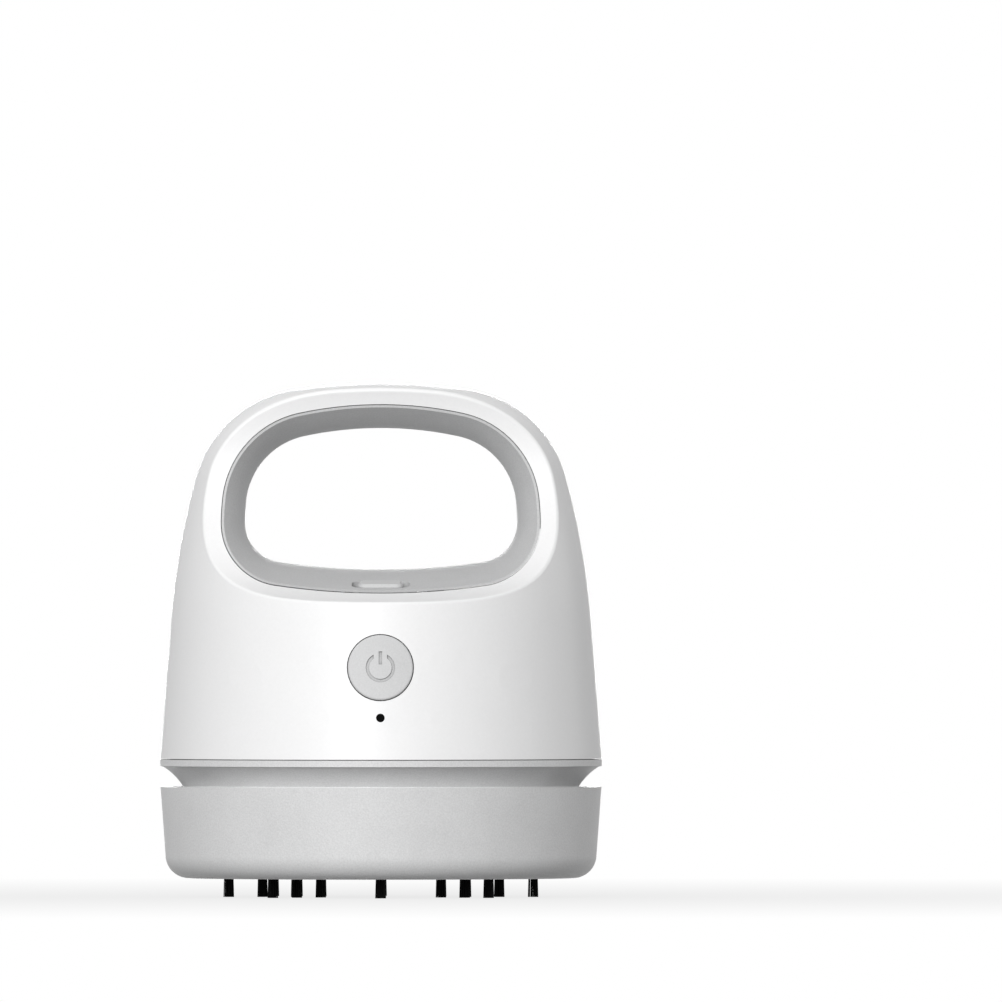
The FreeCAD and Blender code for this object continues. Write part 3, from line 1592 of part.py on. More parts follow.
def slide_knob():
    body = part_body("slide_knob")
    low = f"{knob_plate_top} - knob_plate_thickness"
    pad(
        body,
        "XY_Plane",
        low,
        "knob_plate_thickness",
        centred("knob_plate_length", "knob_plate_width"),
    )
    lever_low = f"{switch_top} - lever_reach"
    pad(
        body,
        "XY_Plane",
        lever_low,
        f"({low}) + knob_plate_thickness / 2 - ({lever_low})",
        centred("lever_width", "lever_width"),
    )
    top = mm("knob_proud")
    chamfer = mm("knob_chamfer")
    corner = mm("knob_corner")
    grip = rounded_block(mm("knob_length"), mm("knob_width"), corner, mm(low), top)
    rim = [edge for edge in grip.Edges if edge.BoundBox.ZMin > top - chamfer / 2]
    shape = body.Shape.fuse(grip.makeChamfer(chamfer, rim)).removeSplitter()
    body.Label = "slide_knob_blank"
    shape.Placement = switch_frame()
    solid_node("slide_knob", shape)


def slide_switch():
    body = part_body("slide_switch")
    pad(body, "XY_Plane", switch_low, "switch_height", centred("switch_length", "switch_width"))
    pocket(
        body,
        "XY_Plane",
        f"{switch_top} - lever_reach - knob_clearance",
        "lever_reach + 2 * knob_clearance",
        centred(
            "lever_width + 2 * knob_travel + 2 * knob_clearance",
            "lever_width + 2 * knob_clearance",
        ),
    )
    body.Placement = switch_frame()
    node(body)


def switch_board():
    body = part_body("switch_board")

    def board(sketch):
        centred("switch_board_length", "switch_board_width")(sketch)
        for side in ("-", ""):
            circle(sketch, f"{side}switch_post_spread", "0", "screw_radius + screw_fit")

    pad(
        body,
        "XY_Plane",
        f"{switch_low} - switch_board_thickness",
        "switch_board_thickness",
        board,
    )
    body.Placement = switch_frame()
    node(body)


def switch_screws():
    length = mm("switch_board_thickness + 2 * screw_radius")
    low = mm(f"{switch_low} - switch_board_thickness")
    screws = []
    for side in (-1, 1):
        tip = V(side * mm("switch_post_spread"), 0, low + length)
        screws.append(screw(tip, -Z_WAY, length))
    group = Part.Compound(screws)
    group.Placement = switch_frame()
    solid_node("switch_screws", group)


# ---- charging port ----

charge_top = "port_height - port_thickness / 2"
charge_screw_spread = "(charge_board_width / 2 - 2 * screw_radius)"
charge_screw_x = (f"-{charge_screw_spread}", charge_screw_spread)
charge_screw_y = "fan_radius + plate_fit * 5 + charge_board_depth / 2"


def charge_screw_places():
    for x in charge_screw_x:
        yield V(mm(x), mm(charge_screw_y), mm(f"{charge_top} - charge_board_thickness"))


def charge_board():
    body = part_body("charge_board")

    def board(sketch):
        rectangle(
            sketch,
            "-charge_board_width / 2",
            "charge_board_width / 2",
            f"{charge_screw_y} - charge_board_depth / 2",
            f"{charge_screw_y} + charge_board_depth / 2",
        )
        for x in charge_screw_x:
            circle(sketch, x, charge_screw_y, "screw_radius + screw_fit")

    pad(body, "XY_Plane", f"{charge_top} - charge_board_thickness", "charge_board_thickness", board)
    node(body)


def charge_screws():
    length = mm("charge_board_thickness + 2 * screw_radius")
    screws = [
        screw(place + Z_WAY * (mm("charge_board_thickness") - length), Z_WAY, length)
        for place in charge_screw_places()
    ]
    solid_node("charge_screws", Part.Compound(screws))


def usb_socket():
    """A reversible charging socket: metal shell, back wall and tongue."""
    depth = mm("port_depth")
    wall = mm("port_wall")
    mouth = wall_distance(mm("port_height"), 0) - mm("shell_wall / 2")
    start = V(0, mouth - depth, mm("port_height"))
    outer = stadium(mm("port_width"), mm("port_thickness"), depth, start, Y_WAY)
    inner = stadium(
        mm("port_width") - 2 * wall,
        mm("port_thickness") - 2 * wall,
        depth,
        start + Y_WAY * (4 * wall),
        Y_WAY,
    )
    width, thick = mm("tongue_width"), mm("tongue_thickness")
    root = start + V(-width / 2, 2 * wall, -thick / 2)
    tongue = Part.makeBox(width, mm("tongue_length"), thick, root)
    solid_node("usb_socket", outer.cut(inner).fuse(tongue).removeSplitter())


# ---- leads ----


def lead(points):
    """An insulated lead along straight runs with round bends."""
    bend = mm("lead_bend")
    edges = []
    here = points[0]
    for before, corner, after in zip(points, points[1:], points[2:]):
        back = V(before - corner).normalize()
        on = V(after - corner).normalize()
        half = back.getAngle(on) / 2
        trim = bend / math.tan(half)
        start = corner + back * trim
        end = corner + on * trim
        middle_way = V(back + on).normalize()
        middle = corner + middle_way * (bend / math.sin(half) - bend)
        edges.append(Part.LineSegment(here, start).toShape())
        edges.append(Part.Arc(start, middle, end).toShape())
        here = end
    edges.append(Part.LineSegment(here, points[-1]).toShape())
    path = Part.Wire(edges)
    way = V(points[1] - points[0]).normalize()
    section = Part.Wire([Part.Circle(points[0], way, mm("lead_radius")).toShape()])
    return path.makePipeShell([section], True, False)


def motor_leads():
    """From the motor's terminals down its front to the main board."""
    height = mm(f"{motor_base} + motor_height + cap_height / 2 + terminal_height / 2")
    front = mm("motor_radius + 4 * lead_radius")
    board = mm("board_front - board_thickness")
    low = mm("lamp_height + 2 * lead_bend")
    leads = []
    for side in (-1, 1):
        x = side * mm("motor_boss + terminal_spread")
        points = [
            V(x, -mm("terminal_thickness / 2"), height),
            V(x, -front, height),
            V(x, -front, low),
            V(x, -board, low),
        ]
        leads.append(lead(points))
    solid_node("motor_leads", Part.Compound(leads))


def battery_leads():
    """From both ends of the cradle round the motor to the main board."""
    y = mm(cell_y)
    z = mm(f"{cell_z} - cell_radius / 4")
    end = mm("cell_length / 2 + cell_fit + cradle_wall")
    out = end + mm("lead_bend + 2 * lead_radius")
    board = mm("board_front - board_thickness")
    turn_y = -board + mm("2 * lead_bend + lead_radius")
    inner = mm("board_half_width - 2 * board_screw_inset")
    leads = []
    for side in (-1, 1):
        points = [
            V(side * end, y, z),
            V(side * out, y, z),
            V(side * out, turn_y, z),
            V(side * inner, turn_y, z),
            V(side * inner, -board, z),
        ]
        leads.append(lead(points))
    solid_node("battery_leads", Part.Compound(leads))


bell_outer = bell("0")
bell_hollow = bell("shell_wall")
button_face = bell("-button_proud")
button_floor = bell("mark_depth - button_proud")

front_shell()
rear_shell()
handle_liner()
shell_screws()
neck_ring()
neck_screws()
dust_bowl()
brush_plate()
plate_screws()
brush_tufts()
inlet_riser()
filter_frame()
seal_ring()
filter_mesh()
filter_pleats()
fan_housing()
fan_screws()
motor_screws()
motor_can()
motor_end_cap()
motor_terminals()
motor_magnets()
armature()
motor_shaft()
impeller()
battery_cell()
battery_cradle()
main_board()
board_screws()
tact_switch()
tact_plunger()
power_button()
indicator_lens()
indicator_led()
slide_knob()
slide_switch()
switch_board()
switch_screws()
charge_board()
charge_screws()
usb_socket()
motor_leads()
battery_leads()


def check_and_write():
    doc.recompute()
    for item in doc.Objects:
        if "Invalid" in item.State or "Error" in item.State:
            raise RuntimeError(f"{item.Label} failed: {item.State}")
    os.makedirs("parts", exist_ok=True)
    for item in nodes:
        shape = item.Shape
        if shape.isNull() or not shape.isValid() or not shape.Solids:
            raise RuntimeError(f"{item.Label} has no valid shape")
    for item in nodes:
        item.Shape.exportStep(f"parts/{item.Label}.step")
        print(item.Label, len(item.Shape.Solids), round(item.Shape.Volume, 1))


check_and_write()
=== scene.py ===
import json
import math

import bmesh
import bpy
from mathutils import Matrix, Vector


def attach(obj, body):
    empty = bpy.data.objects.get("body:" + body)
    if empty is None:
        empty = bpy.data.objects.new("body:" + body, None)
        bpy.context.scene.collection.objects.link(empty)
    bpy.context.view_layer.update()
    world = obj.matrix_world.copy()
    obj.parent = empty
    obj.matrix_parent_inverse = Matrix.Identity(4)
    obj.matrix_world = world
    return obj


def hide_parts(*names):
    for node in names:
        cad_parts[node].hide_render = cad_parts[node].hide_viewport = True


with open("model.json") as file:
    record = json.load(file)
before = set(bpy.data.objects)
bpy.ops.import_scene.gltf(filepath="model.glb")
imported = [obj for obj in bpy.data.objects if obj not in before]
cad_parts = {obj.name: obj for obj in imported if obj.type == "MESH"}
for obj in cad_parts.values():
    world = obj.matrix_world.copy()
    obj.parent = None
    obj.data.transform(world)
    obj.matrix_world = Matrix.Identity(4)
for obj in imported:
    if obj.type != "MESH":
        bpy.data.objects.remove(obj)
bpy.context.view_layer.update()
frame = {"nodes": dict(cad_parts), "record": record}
nodes = frame["nodes"]
print("frame loaded,", len(nodes), "nodes")

perMetre = 1000  # the finishes count in millimetres


class Wire:  # one output socket, so that node trees read as ordinary maths
    def __init__(self, tree, socket):
        self.tree = tree
        self.socket = socket

    def __add__(self, other): return self.tree.maths("ADD", self, other)
    def __radd__(self, other): return self.tree.maths("ADD", other, self)
    def __sub__(self, other): return self.tree.maths("SUBTRACT", self, other)
    def __rsub__(self, other): return self.tree.maths("SUBTRACT", other, self)
    def __mul__(self, other): return self.tree.maths("MULTIPLY", self, other)
    def __rmul__(self, other): return self.tree.maths("MULTIPLY", other, self)
    def __truediv__(self, other): return self.tree.maths("DIVIDE", self, other)
    def __rtruediv__(self, other): return self.tree.maths("DIVIDE", other, self)
    def __gt__(self, other): return self.tree.maths("GREATER_THAN", self, other)
    def __lt__(self, other): return self.tree.maths("LESS_THAN", self, other)


class Tree:
    def __init__(self, nodeTree):
        self.nodeTree = nodeTree

    def feed(self, socket, value):
        if isinstance(value, Wire):
            self.nodeTree.links.new(value.socket, socket)
        elif socket.type == "RGBA":
            socket.default_value = (*value, 1)
        else:
            socket.default_value = value

    def add(self, kind, settings=None, inputs=None, output=0):
        node = self.nodeTree.nodes.new(kind)
        for key, value in (settings or {}).items():
            setattr(node, key, value)
        for key, value in (inputs or {}).items():
            self.feed(node.inputs[key], value)
        return Wire(self, node.outputs[output])

    def maths(self, operation, *values):
        return self.add("ShaderNodeMath", {"operation": operation}, dict(enumerate(values)))

    def clamp(self, value):
        return self.add("ShaderNodeClamp", None, {0: value, 1: 0.0, 2: 1.0})

    def parts(self, vector):
        split = self.add("ShaderNodeSeparateXYZ", None, {0: vector})
        return [Wire(self, socket) for socket in split.socket.node.outputs]

    def vector(self, x, y, z):
        return self.add("ShaderNodeCombineXYZ", None, {0: x, 1: y, 2: z})


class Finish(Tree):  # a material laid out in millimetres of the part's own coordinates
    def __init__(self, name, constants):
        material = bpy.data.materials.new(name + "_finish")
        material.use_nodes = True
        super().__init__(material.node_tree)
        self.material = material
        self.shader = material.node_tree.nodes["Principled BSDF"]
        for key, value in constants.items():
            self.feed(self.shader.inputs[key], value)
        raw = self.add("ShaderNodeTexCoord", output="Object")
        self.place = self.scaled(raw, (perMetre, perMetre, perMetre))

    def scaled(self, vector, amounts):
        return self.add("ShaderNodeVectorMath", {"operation": "MULTIPLY"}, {0: vector, 1: amounts})

    def noise(self, size, detail, stretch=None, roughness=0.5):
        place = self.scaled(self.place, stretch) if stretch else self.place
        return self.add("ShaderNodeTexNoise", None,
                        {"Vector": place, "Scale": 1 / size, "Detail": detail,
                         "Roughness": roughness})

    def cells(self, size):
        return self.add("ShaderNodeTexVoronoi", None, {"Vector": self.place, "Scale": 1 / size})

    def openness(self, reach, samples):
        return self.add("ShaderNodeAmbientOcclusion", {"samples": samples}, {"Distance": reach}, 1)

    def mix(self, factor, first, second):
        return self.add("ShaderNodeMix", {"data_type": "RGBA"}, {0: factor, 6: first, 7: second}, 2)

    def paint(self, wires):
        for key, value in wires.items():
            self.feed(self.shader.inputs[key], value)

    def relief(self, height, depth):
        bump = self.add("ShaderNodeBump", None, {"Height": height, "Distance": depth / perMetre})
        self.feed(self.shader.inputs["Normal"], bump)


def shade(colour, amount):
    return tuple(min(1.0, c * amount) for c in colour)


# the last entry of each look sets how hemmed in a surface must be before painted shade darkens it
plastics = {
    "shell_white": dict(colour=(0.93, 0.93, 0.932), rough=0.47, spread=0.06, grain=0.55,
                        depth=0.0016, cloud=16, mottle=0.012, coat=0.04, dustyAndShaded=0.68),
    "liner_grey": dict(colour=(0.60, 0.602, 0.605), rough=0.58, spread=0.12, grain=0.30,
                       depth=0.030, cloud=9, mottle=0.08, coat=0.0, dustyAndShaded=0.80),
    "base_grey": dict(colour=(0.74, 0.742, 0.745), rough=0.46, spread=0.12, grain=0.30,
                      depth=0.030, cloud=9, mottle=0.08, coat=0.0, dustyAndShaded=0.70),
    "button_grey": dict(colour=(0.64, 0.642, 0.645), rough=0.54, spread=0.08, grain=0.30,
                        depth=0.010, cloud=5, mottle=0.05, coat=0.0, dustyAndShaded=0.86),
    "inner_grey": dict(colour=(0.33, 0.34, 0.35), rough=0.5, spread=0.1, grain=0.35,
                       depth=0.006, cloud=7, mottle=0.04, coat=0.0, dustyAndShaded=0.62),
    "inner_white": dict(colour=(0.78, 0.78, 0.75), rough=0.42, spread=0.08, grain=0.5,
                        depth=0.003, cloud=8, mottle=0.03, coat=0.0, dustyAndShaded=0.62),
    "inner_black": dict(colour=(0.028, 0.028, 0.031), rough=0.45, spread=0.1, grain=0.3,
                        depth=0.005, cloud=6, mottle=0.12, coat=0.0, dustyAndShaded=0.62),
}

# what all the plastics share, with the reach, strength and tone of the painted shade in grooves and
# gaps
mould = dict(coatRough=0.12, speckSize=1.4, cloudTone=0.8, grainTone=2.4, cloudRough=0.04,
             pitGain=2.2, pitTone=0.55, creaseShadeReach=0.0007, creaseShadeSamples=6, creaseShadeGain=2.2,
             creaseShadeCover=0.8, creaseShadeTone=0.30, grainRelief=0.7, speckRelief=0.5)


def mouldedPlastic(name, look):
    finish = Finish(name, {"IOR": 1.5, "Coat Weight": look["coat"],
                           "Coat Roughness": mould["coatRough"]})
    grain = finish.noise(look["grain"], 3, roughness=0.6)
    cloud = finish.noise(look["cloud"], 2)
    speck = finish.cells(look["grain"] * mould["speckSize"])
    tone = (cloud - 0.5) * mould["cloudTone"] + (grain - 0.5) * mould["grainTone"] + 0.5
    colour = finish.mix(finish.clamp(tone), shade(look["colour"], 1 - look["mottle"]),
                        shade(look["colour"], 1 + look["mottle"]))
    pits = finish.clamp(speck * mould["pitGain"]) * look["mottle"]
    colour = finish.mix(pits, colour, shade(look["colour"], mould["pitTone"]))
    # painted shade: the colour darkens where the surface is hemmed in, in grooves, gaps and along
    # parting lines
    openness = finish.openness(mould["creaseShadeReach"], mould["creaseShadeSamples"])
    dustAndShade = finish.clamp((look["dustyAndShaded"] - openness) * mould["creaseShadeGain"]) * mould["creaseShadeCover"]
    colour = finish.mix(dustAndShade, colour, shade(look["colour"], mould["creaseShadeTone"]))
    rough = look["rough"] + (grain - 0.5) * look["spread"] + (cloud - 0.5) * mould["cloudRough"]
    finish.paint({"Base Color": colour, "Roughness": rough})
    finish.relief(grain * mould["grainRelief"] + speck * mould["speckRelief"], look["depth"])
    return finish.material


metals = {
    "filter_steel": dict(colour=(0.60, 0.60, 0.59), rough=0.30, spread=0.10,
                         stretch=(1, 1, 6), line=0.3),
    "motor_steel": dict(colour=(0.56, 0.565, 0.57), rough=0.32, spread=0.14,
                        stretch=(0.4, 0.4, 9), line=0.9),
    "shaft_steel": dict(colour=(0.70, 0.70, 0.70), rough=0.14, spread=0.08,
                        stretch=(0.5, 0.5, 12), line=0.5),
    "screw_steel": dict(colour=(0.50, 0.50, 0.51), rough=0.28, spread=0.12,
                        stretch=(1, 1, 5), line=0.25),
    "switch_steel": dict(colour=(0.62, 0.62, 0.61), rough=0.30, spread=0.14,
                         stretch=(9, 0.6, 0.6), line=0.5),
    "contact_brass": dict(colour=(0.78, 0.60, 0.28), rough=0.26, spread=0.12,
                          stretch=(6, 1, 1), line=0.3),
}

# what all the metals share
tooling = dict(stainSize=4, stainGain=1.8, stainStart=0.4, stainRough=0.1, dull=0.86, bright=1.06,
               depth=0.003)


def workedMetal(name, look):
    finish = Finish(name, {"Metallic": 1.0})
    lines = finish.noise(look["line"], 4, look["stretch"], 0.65)
    stain = finish.noise(tooling["stainSize"], 3)
    cover = finish.clamp(stain * tooling["stainGain"] - tooling["stainStart"])
    colour = finish.mix(cover, shade(look["colour"], tooling["dull"]),
                        shade(look["colour"], tooling["bright"]))
    rough = (look["rough"] + (lines - 0.5) * look["spread"]
             + (stain - 0.5) * tooling["stainRough"])
    finish.paint({"Base Color": colour, "Roughness": rough})
    finish.relief(lines, tooling["depth"])
    return finish.material


# finishes whose colour, roughness and relief all follow one noise
grainy = {
    "lens_black": dict(fixed={"IOR": 1.3, "Specular IOR Level": 0.03}, size=0.4, detail=3,
                       stretch=None, jitter=0.5, dark=(0.001, 0.001, 0.001),
                       pale=(0.003, 0.003, 0.003), rough=0.24, spread=0.1, depth=0.001),
    "bristle_black": dict(fixed={"IOR": 1.4, "Specular IOR Level": 0.12}, size=0.2, detail=3,
                          stretch=(1, 1, 0.12), jitter=0.5, dark=(0.001, 0.001, 0.001),
                          pale=(0.005, 0.005, 0.005), rough=0.55, spread=0.2, depth=0.004),
    "magnet_black": dict(fixed={"IOR": 1.6}, size=0.15, detail=4,
                         stretch=None, jitter=0.7, dark=(0.04, 0.04, 0.042),
                         pale=(0.10, 0.10, 0.105), rough=0.5, spread=0.3, depth=0.012),
    "led_white": dict(fixed={"Coat Weight": 0.5, "Coat Roughness": 0.1, "IOR": 1.5}, size=0.12,
                      detail=3, stretch=None, jitter=0.5, dark=(0.86, 0.80, 0.50),
                      pale=(0.92, 0.90, 0.74), rough=0.3, spread=0.1, depth=0.004),
}


def grainyFinish(name, look):
    finish = Finish(name, look["fixed"])
    grain = finish.noise(look["size"], look["detail"], look["stretch"], look["jitter"])
    finish.paint({"Base Color": finish.mix(grain, look["dark"], look["pale"]),
                  "Roughness": look["rough"] + grain * look["spread"]})
    finish.relief(grain, look["depth"])
    return finish.material


rubber = dict(bloom=1.4, fine=0.12, dark=(0.018, 0.018, 0.019), pale=(0.045, 0.045, 0.046),
              rough=0.62, spread=0.2, depth=0.006)


def sealRubber():
    finish = Finish("seal_rubber", {"IOR": 1.5})
    bloom = finish.noise(rubber["bloom"], 4)
    finish.paint({"Base Color": finish.mix(bloom, rubber["dark"], rubber["pale"]),
                  "Roughness": rubber["rough"] + bloom * rubber["spread"]})
    finish.relief(finish.noise(rubber["fine"], 2), rubber["depth"])
    return finish.material


paper = dict(fibre=0.5, cross=0.4, dustSize=6, clean=0.45, dark=(0.80, 0.78, 0.71),
             pale=(0.90, 0.89, 0.85), dustyAndShaded=(0.62, 0.60, 0.55), rough=0.86, spread=0.1,
             fibreRelief=0.6, depth=0.04)


def filterPaper():
    finish = Finish("filter_paper", {"IOR": 1.45})
    fibre = finish.noise(paper["fibre"], 6, (1, 0.35, 1), 0.7)
    cross = finish.noise(paper["cross"], 5, (0.35, 1, 1), 0.7)
    dustAndShade = finish.clamp(finish.noise(paper["dustSize"], 3) - paper["clean"])
    base = finish.mix(fibre, paper["dark"], paper["pale"])
    finish.paint({"Base Color": finish.mix(dustAndShade, base, paper["dustyAndShaded"]),
                  "Roughness": paper["rough"] + cross * paper["spread"]})
    finish.relief(fibre * paper["fibreRelief"] + cross * paper["fibreRelief"], paper["depth"])
    return finish.material


wrap = dict(halfLength=17, endGain=4, endStart=3, wrinkle=0.9, cloud=3, dark=(0.03, 0.115, 0.29),
            pale=(0.045, 0.15, 0.36), rough=0.28, spread=0.14, middleRelief=0.15, depth=0.05)


def shrinkWrap():
    # soft wrinkles, deeper towards the cell's ends
    finish = Finish("cell_wrap", {"Coat Weight": 0.3, "Coat Roughness": 0.2, "IOR": 1.48})
    along = finish.maths("ABSOLUTE", finish.parts(finish.place)[0])
    wrinkle = finish.noise(wrap["wrinkle"], 3, (0.3, 2, 2))
    toEnd = finish.clamp(along / wrap["halfLength"] * wrap["endGain"] - wrap["endStart"])
    cloud = finish.noise(wrap["cloud"], 2)
    finish.paint({"Base Color": finish.mix(cloud, wrap["dark"], wrap["pale"]),
                  "Roughness": wrap["rough"] + wrinkle * wrap["spread"]})
    finish.relief(wrinkle * (wrap["middleRelief"] + toEnd), wrap["depth"])
    return finish.material


mask = dict(wander=3.5, swing=4, runPitch=1.3, runShare=0.3, crossPitch=2.1, crossShare=0.16,
            crossSlope=0.5, weave=9, bare=(0.012, 0.085, 0.035), copper=(0.025, 0.155, 0.06),
            rough=0.3, weaveRough=0.03, weaveRelief=0.1, depth=0.02)


def solderMask():
    # traces under the mask, and the glass weave in its sheen
    finish = Finish("board_green", {"Coat Weight": 0.4, "Coat Roughness": 0.15, "IOR": 1.55})
    x, y, z = finish.parts(finish.place)
    drift = finish.noise(mask["wander"], 1) * mask["swing"]
    runs = finish.maths("FRACT", (x + drift) / mask["runPitch"])
    crossRuns = finish.maths("FRACT", (z + y * mask["crossSlope"] + drift) / mask["crossPitch"])
    trace = finish.maths("MAXIMUM", runs < mask["runShare"], crossRuns < mask["crossShare"])
    weave = finish.maths("SINE", x * mask["weave"]) * finish.maths("SINE", z * mask["weave"])
    finish.paint({"Base Color": finish.mix(trace, mask["bare"], mask["copper"]),
                  "Roughness": mask["rough"] + weave * mask["weaveRough"]})
    finish.relief(trace + weave * mask["weaveRelief"], mask["depth"])
    return finish.material


leads = dict(scuff=0.8, reds=((0.42, 0.015, 0.012), (0.55, 0.03, 0.02)),
             blacks=((0.015, 0.015, 0.016), (0.03, 0.03, 0.031)), rough=0.42, spread=0.16,
             depth=0.006)


def leadSleeve():
    # one lead of each pair is black, the other red
    finish = Finish("lead_red", {"IOR": 1.48})
    x = finish.parts(finish.place)[0]
    scuff = finish.noise(leads["scuff"], 4)
    red = finish.mix(scuff, *leads["reds"])
    black = finish.mix(scuff, *leads["blacks"])
    finish.paint({"Base Color": finish.mix(x > 0, black, red),
                  "Roughness": leads["rough"] + scuff * leads["spread"]})
    finish.relief(scuff, leads["depth"])
    return finish.material


port = dict(height=30.0, flat=2.87, throat=1.33, tongueHalf=0.45, tongueWide=3.6, pitch=0.5,
            shift=0.25, contactShare=0.5, rim=(0.55, 0.55, 0.54), throatShade=(0.11, 0.11, 0.112),
            black=(0.012, 0.012, 0.013), gilt=(0.30, 0.22, 0.09), rough=0.40, spread=0.12,
            depth=0.003)


def portSteel():
    # bright rim, a throat darkened with painted shade, and a black tongue with gilt contacts
    finish = Finish("port_steel", {"IOR": 1.5})
    x, _, z = finish.parts(finish.place)
    across = finish.maths("ABSOLUTE", x)
    above = finish.maths("ABSOLUTE", z - port["height"])
    corner = finish.maths("MAXIMUM", across - port["flat"], 0.0)
    throat = finish.maths("SQRT", corner * corner + above * above) < port["throat"]
    tongue = (above < port["tongueHalf"]) * (across < port["tongueWide"])
    strips = finish.maths("FRACT", across / port["pitch"] + port["shift"])
    contact = (strips < port["contactShare"]) * tongue
    lines = finish.noise(0.5, 4, (9, 0.6, 0.6), 0.65)
    # painted shade fills the port's throat
    colour = finish.mix(throat, port["rim"], port["throatShade"])
    colour = finish.mix(tongue, colour, port["black"])
    colour = finish.mix(contact, colour, port["gilt"])
    finish.paint({"Base Color": colour, "Metallic": 1 - tongue + contact,
                  "Roughness": port["rough"] + lines * port["spread"]})
    finish.relief(lines, port["depth"])
    return finish.material


finishes = {name: mouldedPlastic(name, look) for name, look in plastics.items()}
finishes.update({name: workedMetal(name, look) for name, look in metals.items()})
finishes.update({name: grainyFinish(name, look) for name, look in grainy.items()})
finishes.update({"seal_rubber": sealRubber(), "filter_paper": filterPaper(),
                 "cell_wrap": shrinkWrap(), "board_green": solderMask(),
                 "lead_red": leadSleeve(), "port_steel": portSteel()})

for entry in frame["record"]["subparts"]:
    nodes[entry["node"]].material_slots[0].material = finishes[entry["material_slot"]]
nodes["usb_socket"].material_slots[0].material = finishes["port_steel"]
print("finishes", len(finishes))


def link(name, data):
    thing = bpy.data.objects.new(name, data)
    bpy.context.scene.collection.objects.link(thing)
    return thing


def plainMesh(thing):
    # what the modifiers make of an object, which goes once its mesh is taken
    bpy.context.view_layer.update()
    graph = bpy.context.evaluated_depsgraph_get()
    mesh = bpy.data.meshes.new_from_object(thing.evaluated_get(graph))
    bpy.data.objects.remove(thing)
    return mesh


class Form(Tree):  # one geometry node tree with named inputs, grown into a plain mesh
    def __init__(self, name, sizes):
        group = bpy.data.node_groups.new(name + "_form", "GeometryNodeTree")
        super().__init__(group)
        self.name = name
        self.sizes = sizes
        sockets = group.interface
        sockets.new_socket("Geometry", in_out="INPUT", socket_type="NodeSocketGeometry")
        for key, value in sizes.items():
            kind = "NodeSocketInt" if isinstance(value, int) else "NodeSocketFloat"
            sockets.new_socket(key, in_out="INPUT", socket_type=kind)
        sockets.new_socket("Geometry", in_out="OUTPUT", socket_type="NodeSocketGeometry")
        self.source = group.nodes.new("NodeGroupInput")
        self.sink = group.nodes.new("NodeGroupOutput")

    def size(self, key):
        return Wire(self, self.source.outputs[key])

    def join(self, *geometries):
        node = self.nodeTree.nodes.new("GeometryNodeJoinGeometry")
        for geometry in geometries:
            self.nodeTree.links.new(geometry.socket, node.inputs[0])
        return Wire(self, node.outputs[0])

    def random(self, low, high, seed):
        # its float range is on inputs 2 and 3, its float value on output 1
        return self.add("FunctionNodeRandomValue", {"data_type": "FLOAT"},
                        {2: low, 3: high, "Seed": seed}, 1)

    def tube(self, line, radius, sides=5):
        ring = self.add("GeometryNodeCurvePrimitiveCircle", None,
                        {"Resolution": sides, "Radius": radius})
        return self.add("GeometryNodeCurveToMesh", None,
                        {"Curve": line, "Profile Curve": ring, "Fill Caps": True})

    def grow(self, geometry, body, *replaced, slot):
        whole = self.add("GeometryNodeRealizeInstances", None, {0: geometry})
        dressed = self.add("GeometryNodeSetMaterial", None,
                           {"Geometry": whole, "Material": finishes[slot]})
        self.feed(self.sink.inputs[0], dressed)
        carrier = link(self.name + "_carrier", bpy.data.meshes.new(self.name + "_carrier"))
        modifier = carrier.modifiers.new(self.name, "NODES")
        modifier.node_group = self.nodeTree
        for item in self.nodeTree.interface.items_tree:
            if item.in_out == "INPUT" and item.name in self.sizes:
                modifier[item.identifier] = self.sizes[item.name]
        grown = plainMesh(carrier)
        grown.name = self.name
        piece = link(self.name, grown)
        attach(piece, body)
        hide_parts(*replaced)
        print(self.name, len(grown.polygons), "faces")


bristleSizes = {"tufts": 8, "outerRing": 0.0283, "middleRing": 0.0220, "innerRing": 0.0158,
                "tuftRadius": 0.00095, "tuftSides": 24, "filament": 0.00008, "spacing": 0.00020,
                "density": 9e7, "root": 0.00001, "length": 0.00495, "shortest": 0.955,
                "splay": 28.0, "seed": 11}


def growBristles():
    form = Form("bristles", bristleSizes)
    size = form.size
    rings = [form.add("GeometryNodeMeshCircle", None,
                      {"Vertices": size("tufts"), "Radius": size(key)})
             for key in ("outerRing", "middleRing", "innerRing")]
    disc = form.add("GeometryNodeMeshCircle", {"fill_type": "NGON"},
                    {"Vertices": size("tuftSides"), "Radius": size("tuftRadius")})
    roots = form.add("GeometryNodeDistributePointsOnFaces", {"distribute_method": "POISSON"},
                     {"Mesh": disc, "Distance Min": size("spacing"),
                      "Density Max": size("density"), "Seed": size("seed")})
    line = form.add("GeometryNodeCurvePrimitiveLine", None,
                    {"Start": form.vector(0, 0, size("root")),
                     "End": form.vector(0, 0, size("length"))})
    x, y, _ = form.parts(form.add("GeometryNodeInputPosition"))
    lean = form.vector(0 - x * size("splay"), 0 - y * size("splay"), 1)
    turned = form.add("FunctionNodeAlignRotationToVector", {"axis": "Z"}, {"Vector": lean})
    cut = form.random(size("shortest"), 1.0, size("seed"))
    bundle = form.add("GeometryNodeInstanceOnPoints", None,
                      {"Points": roots, "Instance": form.tube(line, size("filament")),
                       "Rotation": turned, "Scale": form.vector(1, 1, cut)})
    tuft = form.add("GeometryNodeRealizeInstances", None, {0: bundle})
    spin = form.vector(0, 0, form.random(0.0, 6.283, size("seed") + 1))
    tufts = form.add("GeometryNodeInstanceOnPoints", None,
                     {"Points": form.join(*rings), "Instance": tuft,
                      "Rotation": form.add("FunctionNodeEulerToRotation", None, {0: spin})})
    form.grow(tufts, "bowl_unit", "brush_tufts", slot="bristle_black")


meshSizes = {"wires": 43, "pitch": 0.0016, "reach": 0.0341, "wire": 0.000075, "wave": 0.000073,
             "height": 0.01325, "samples": 87}


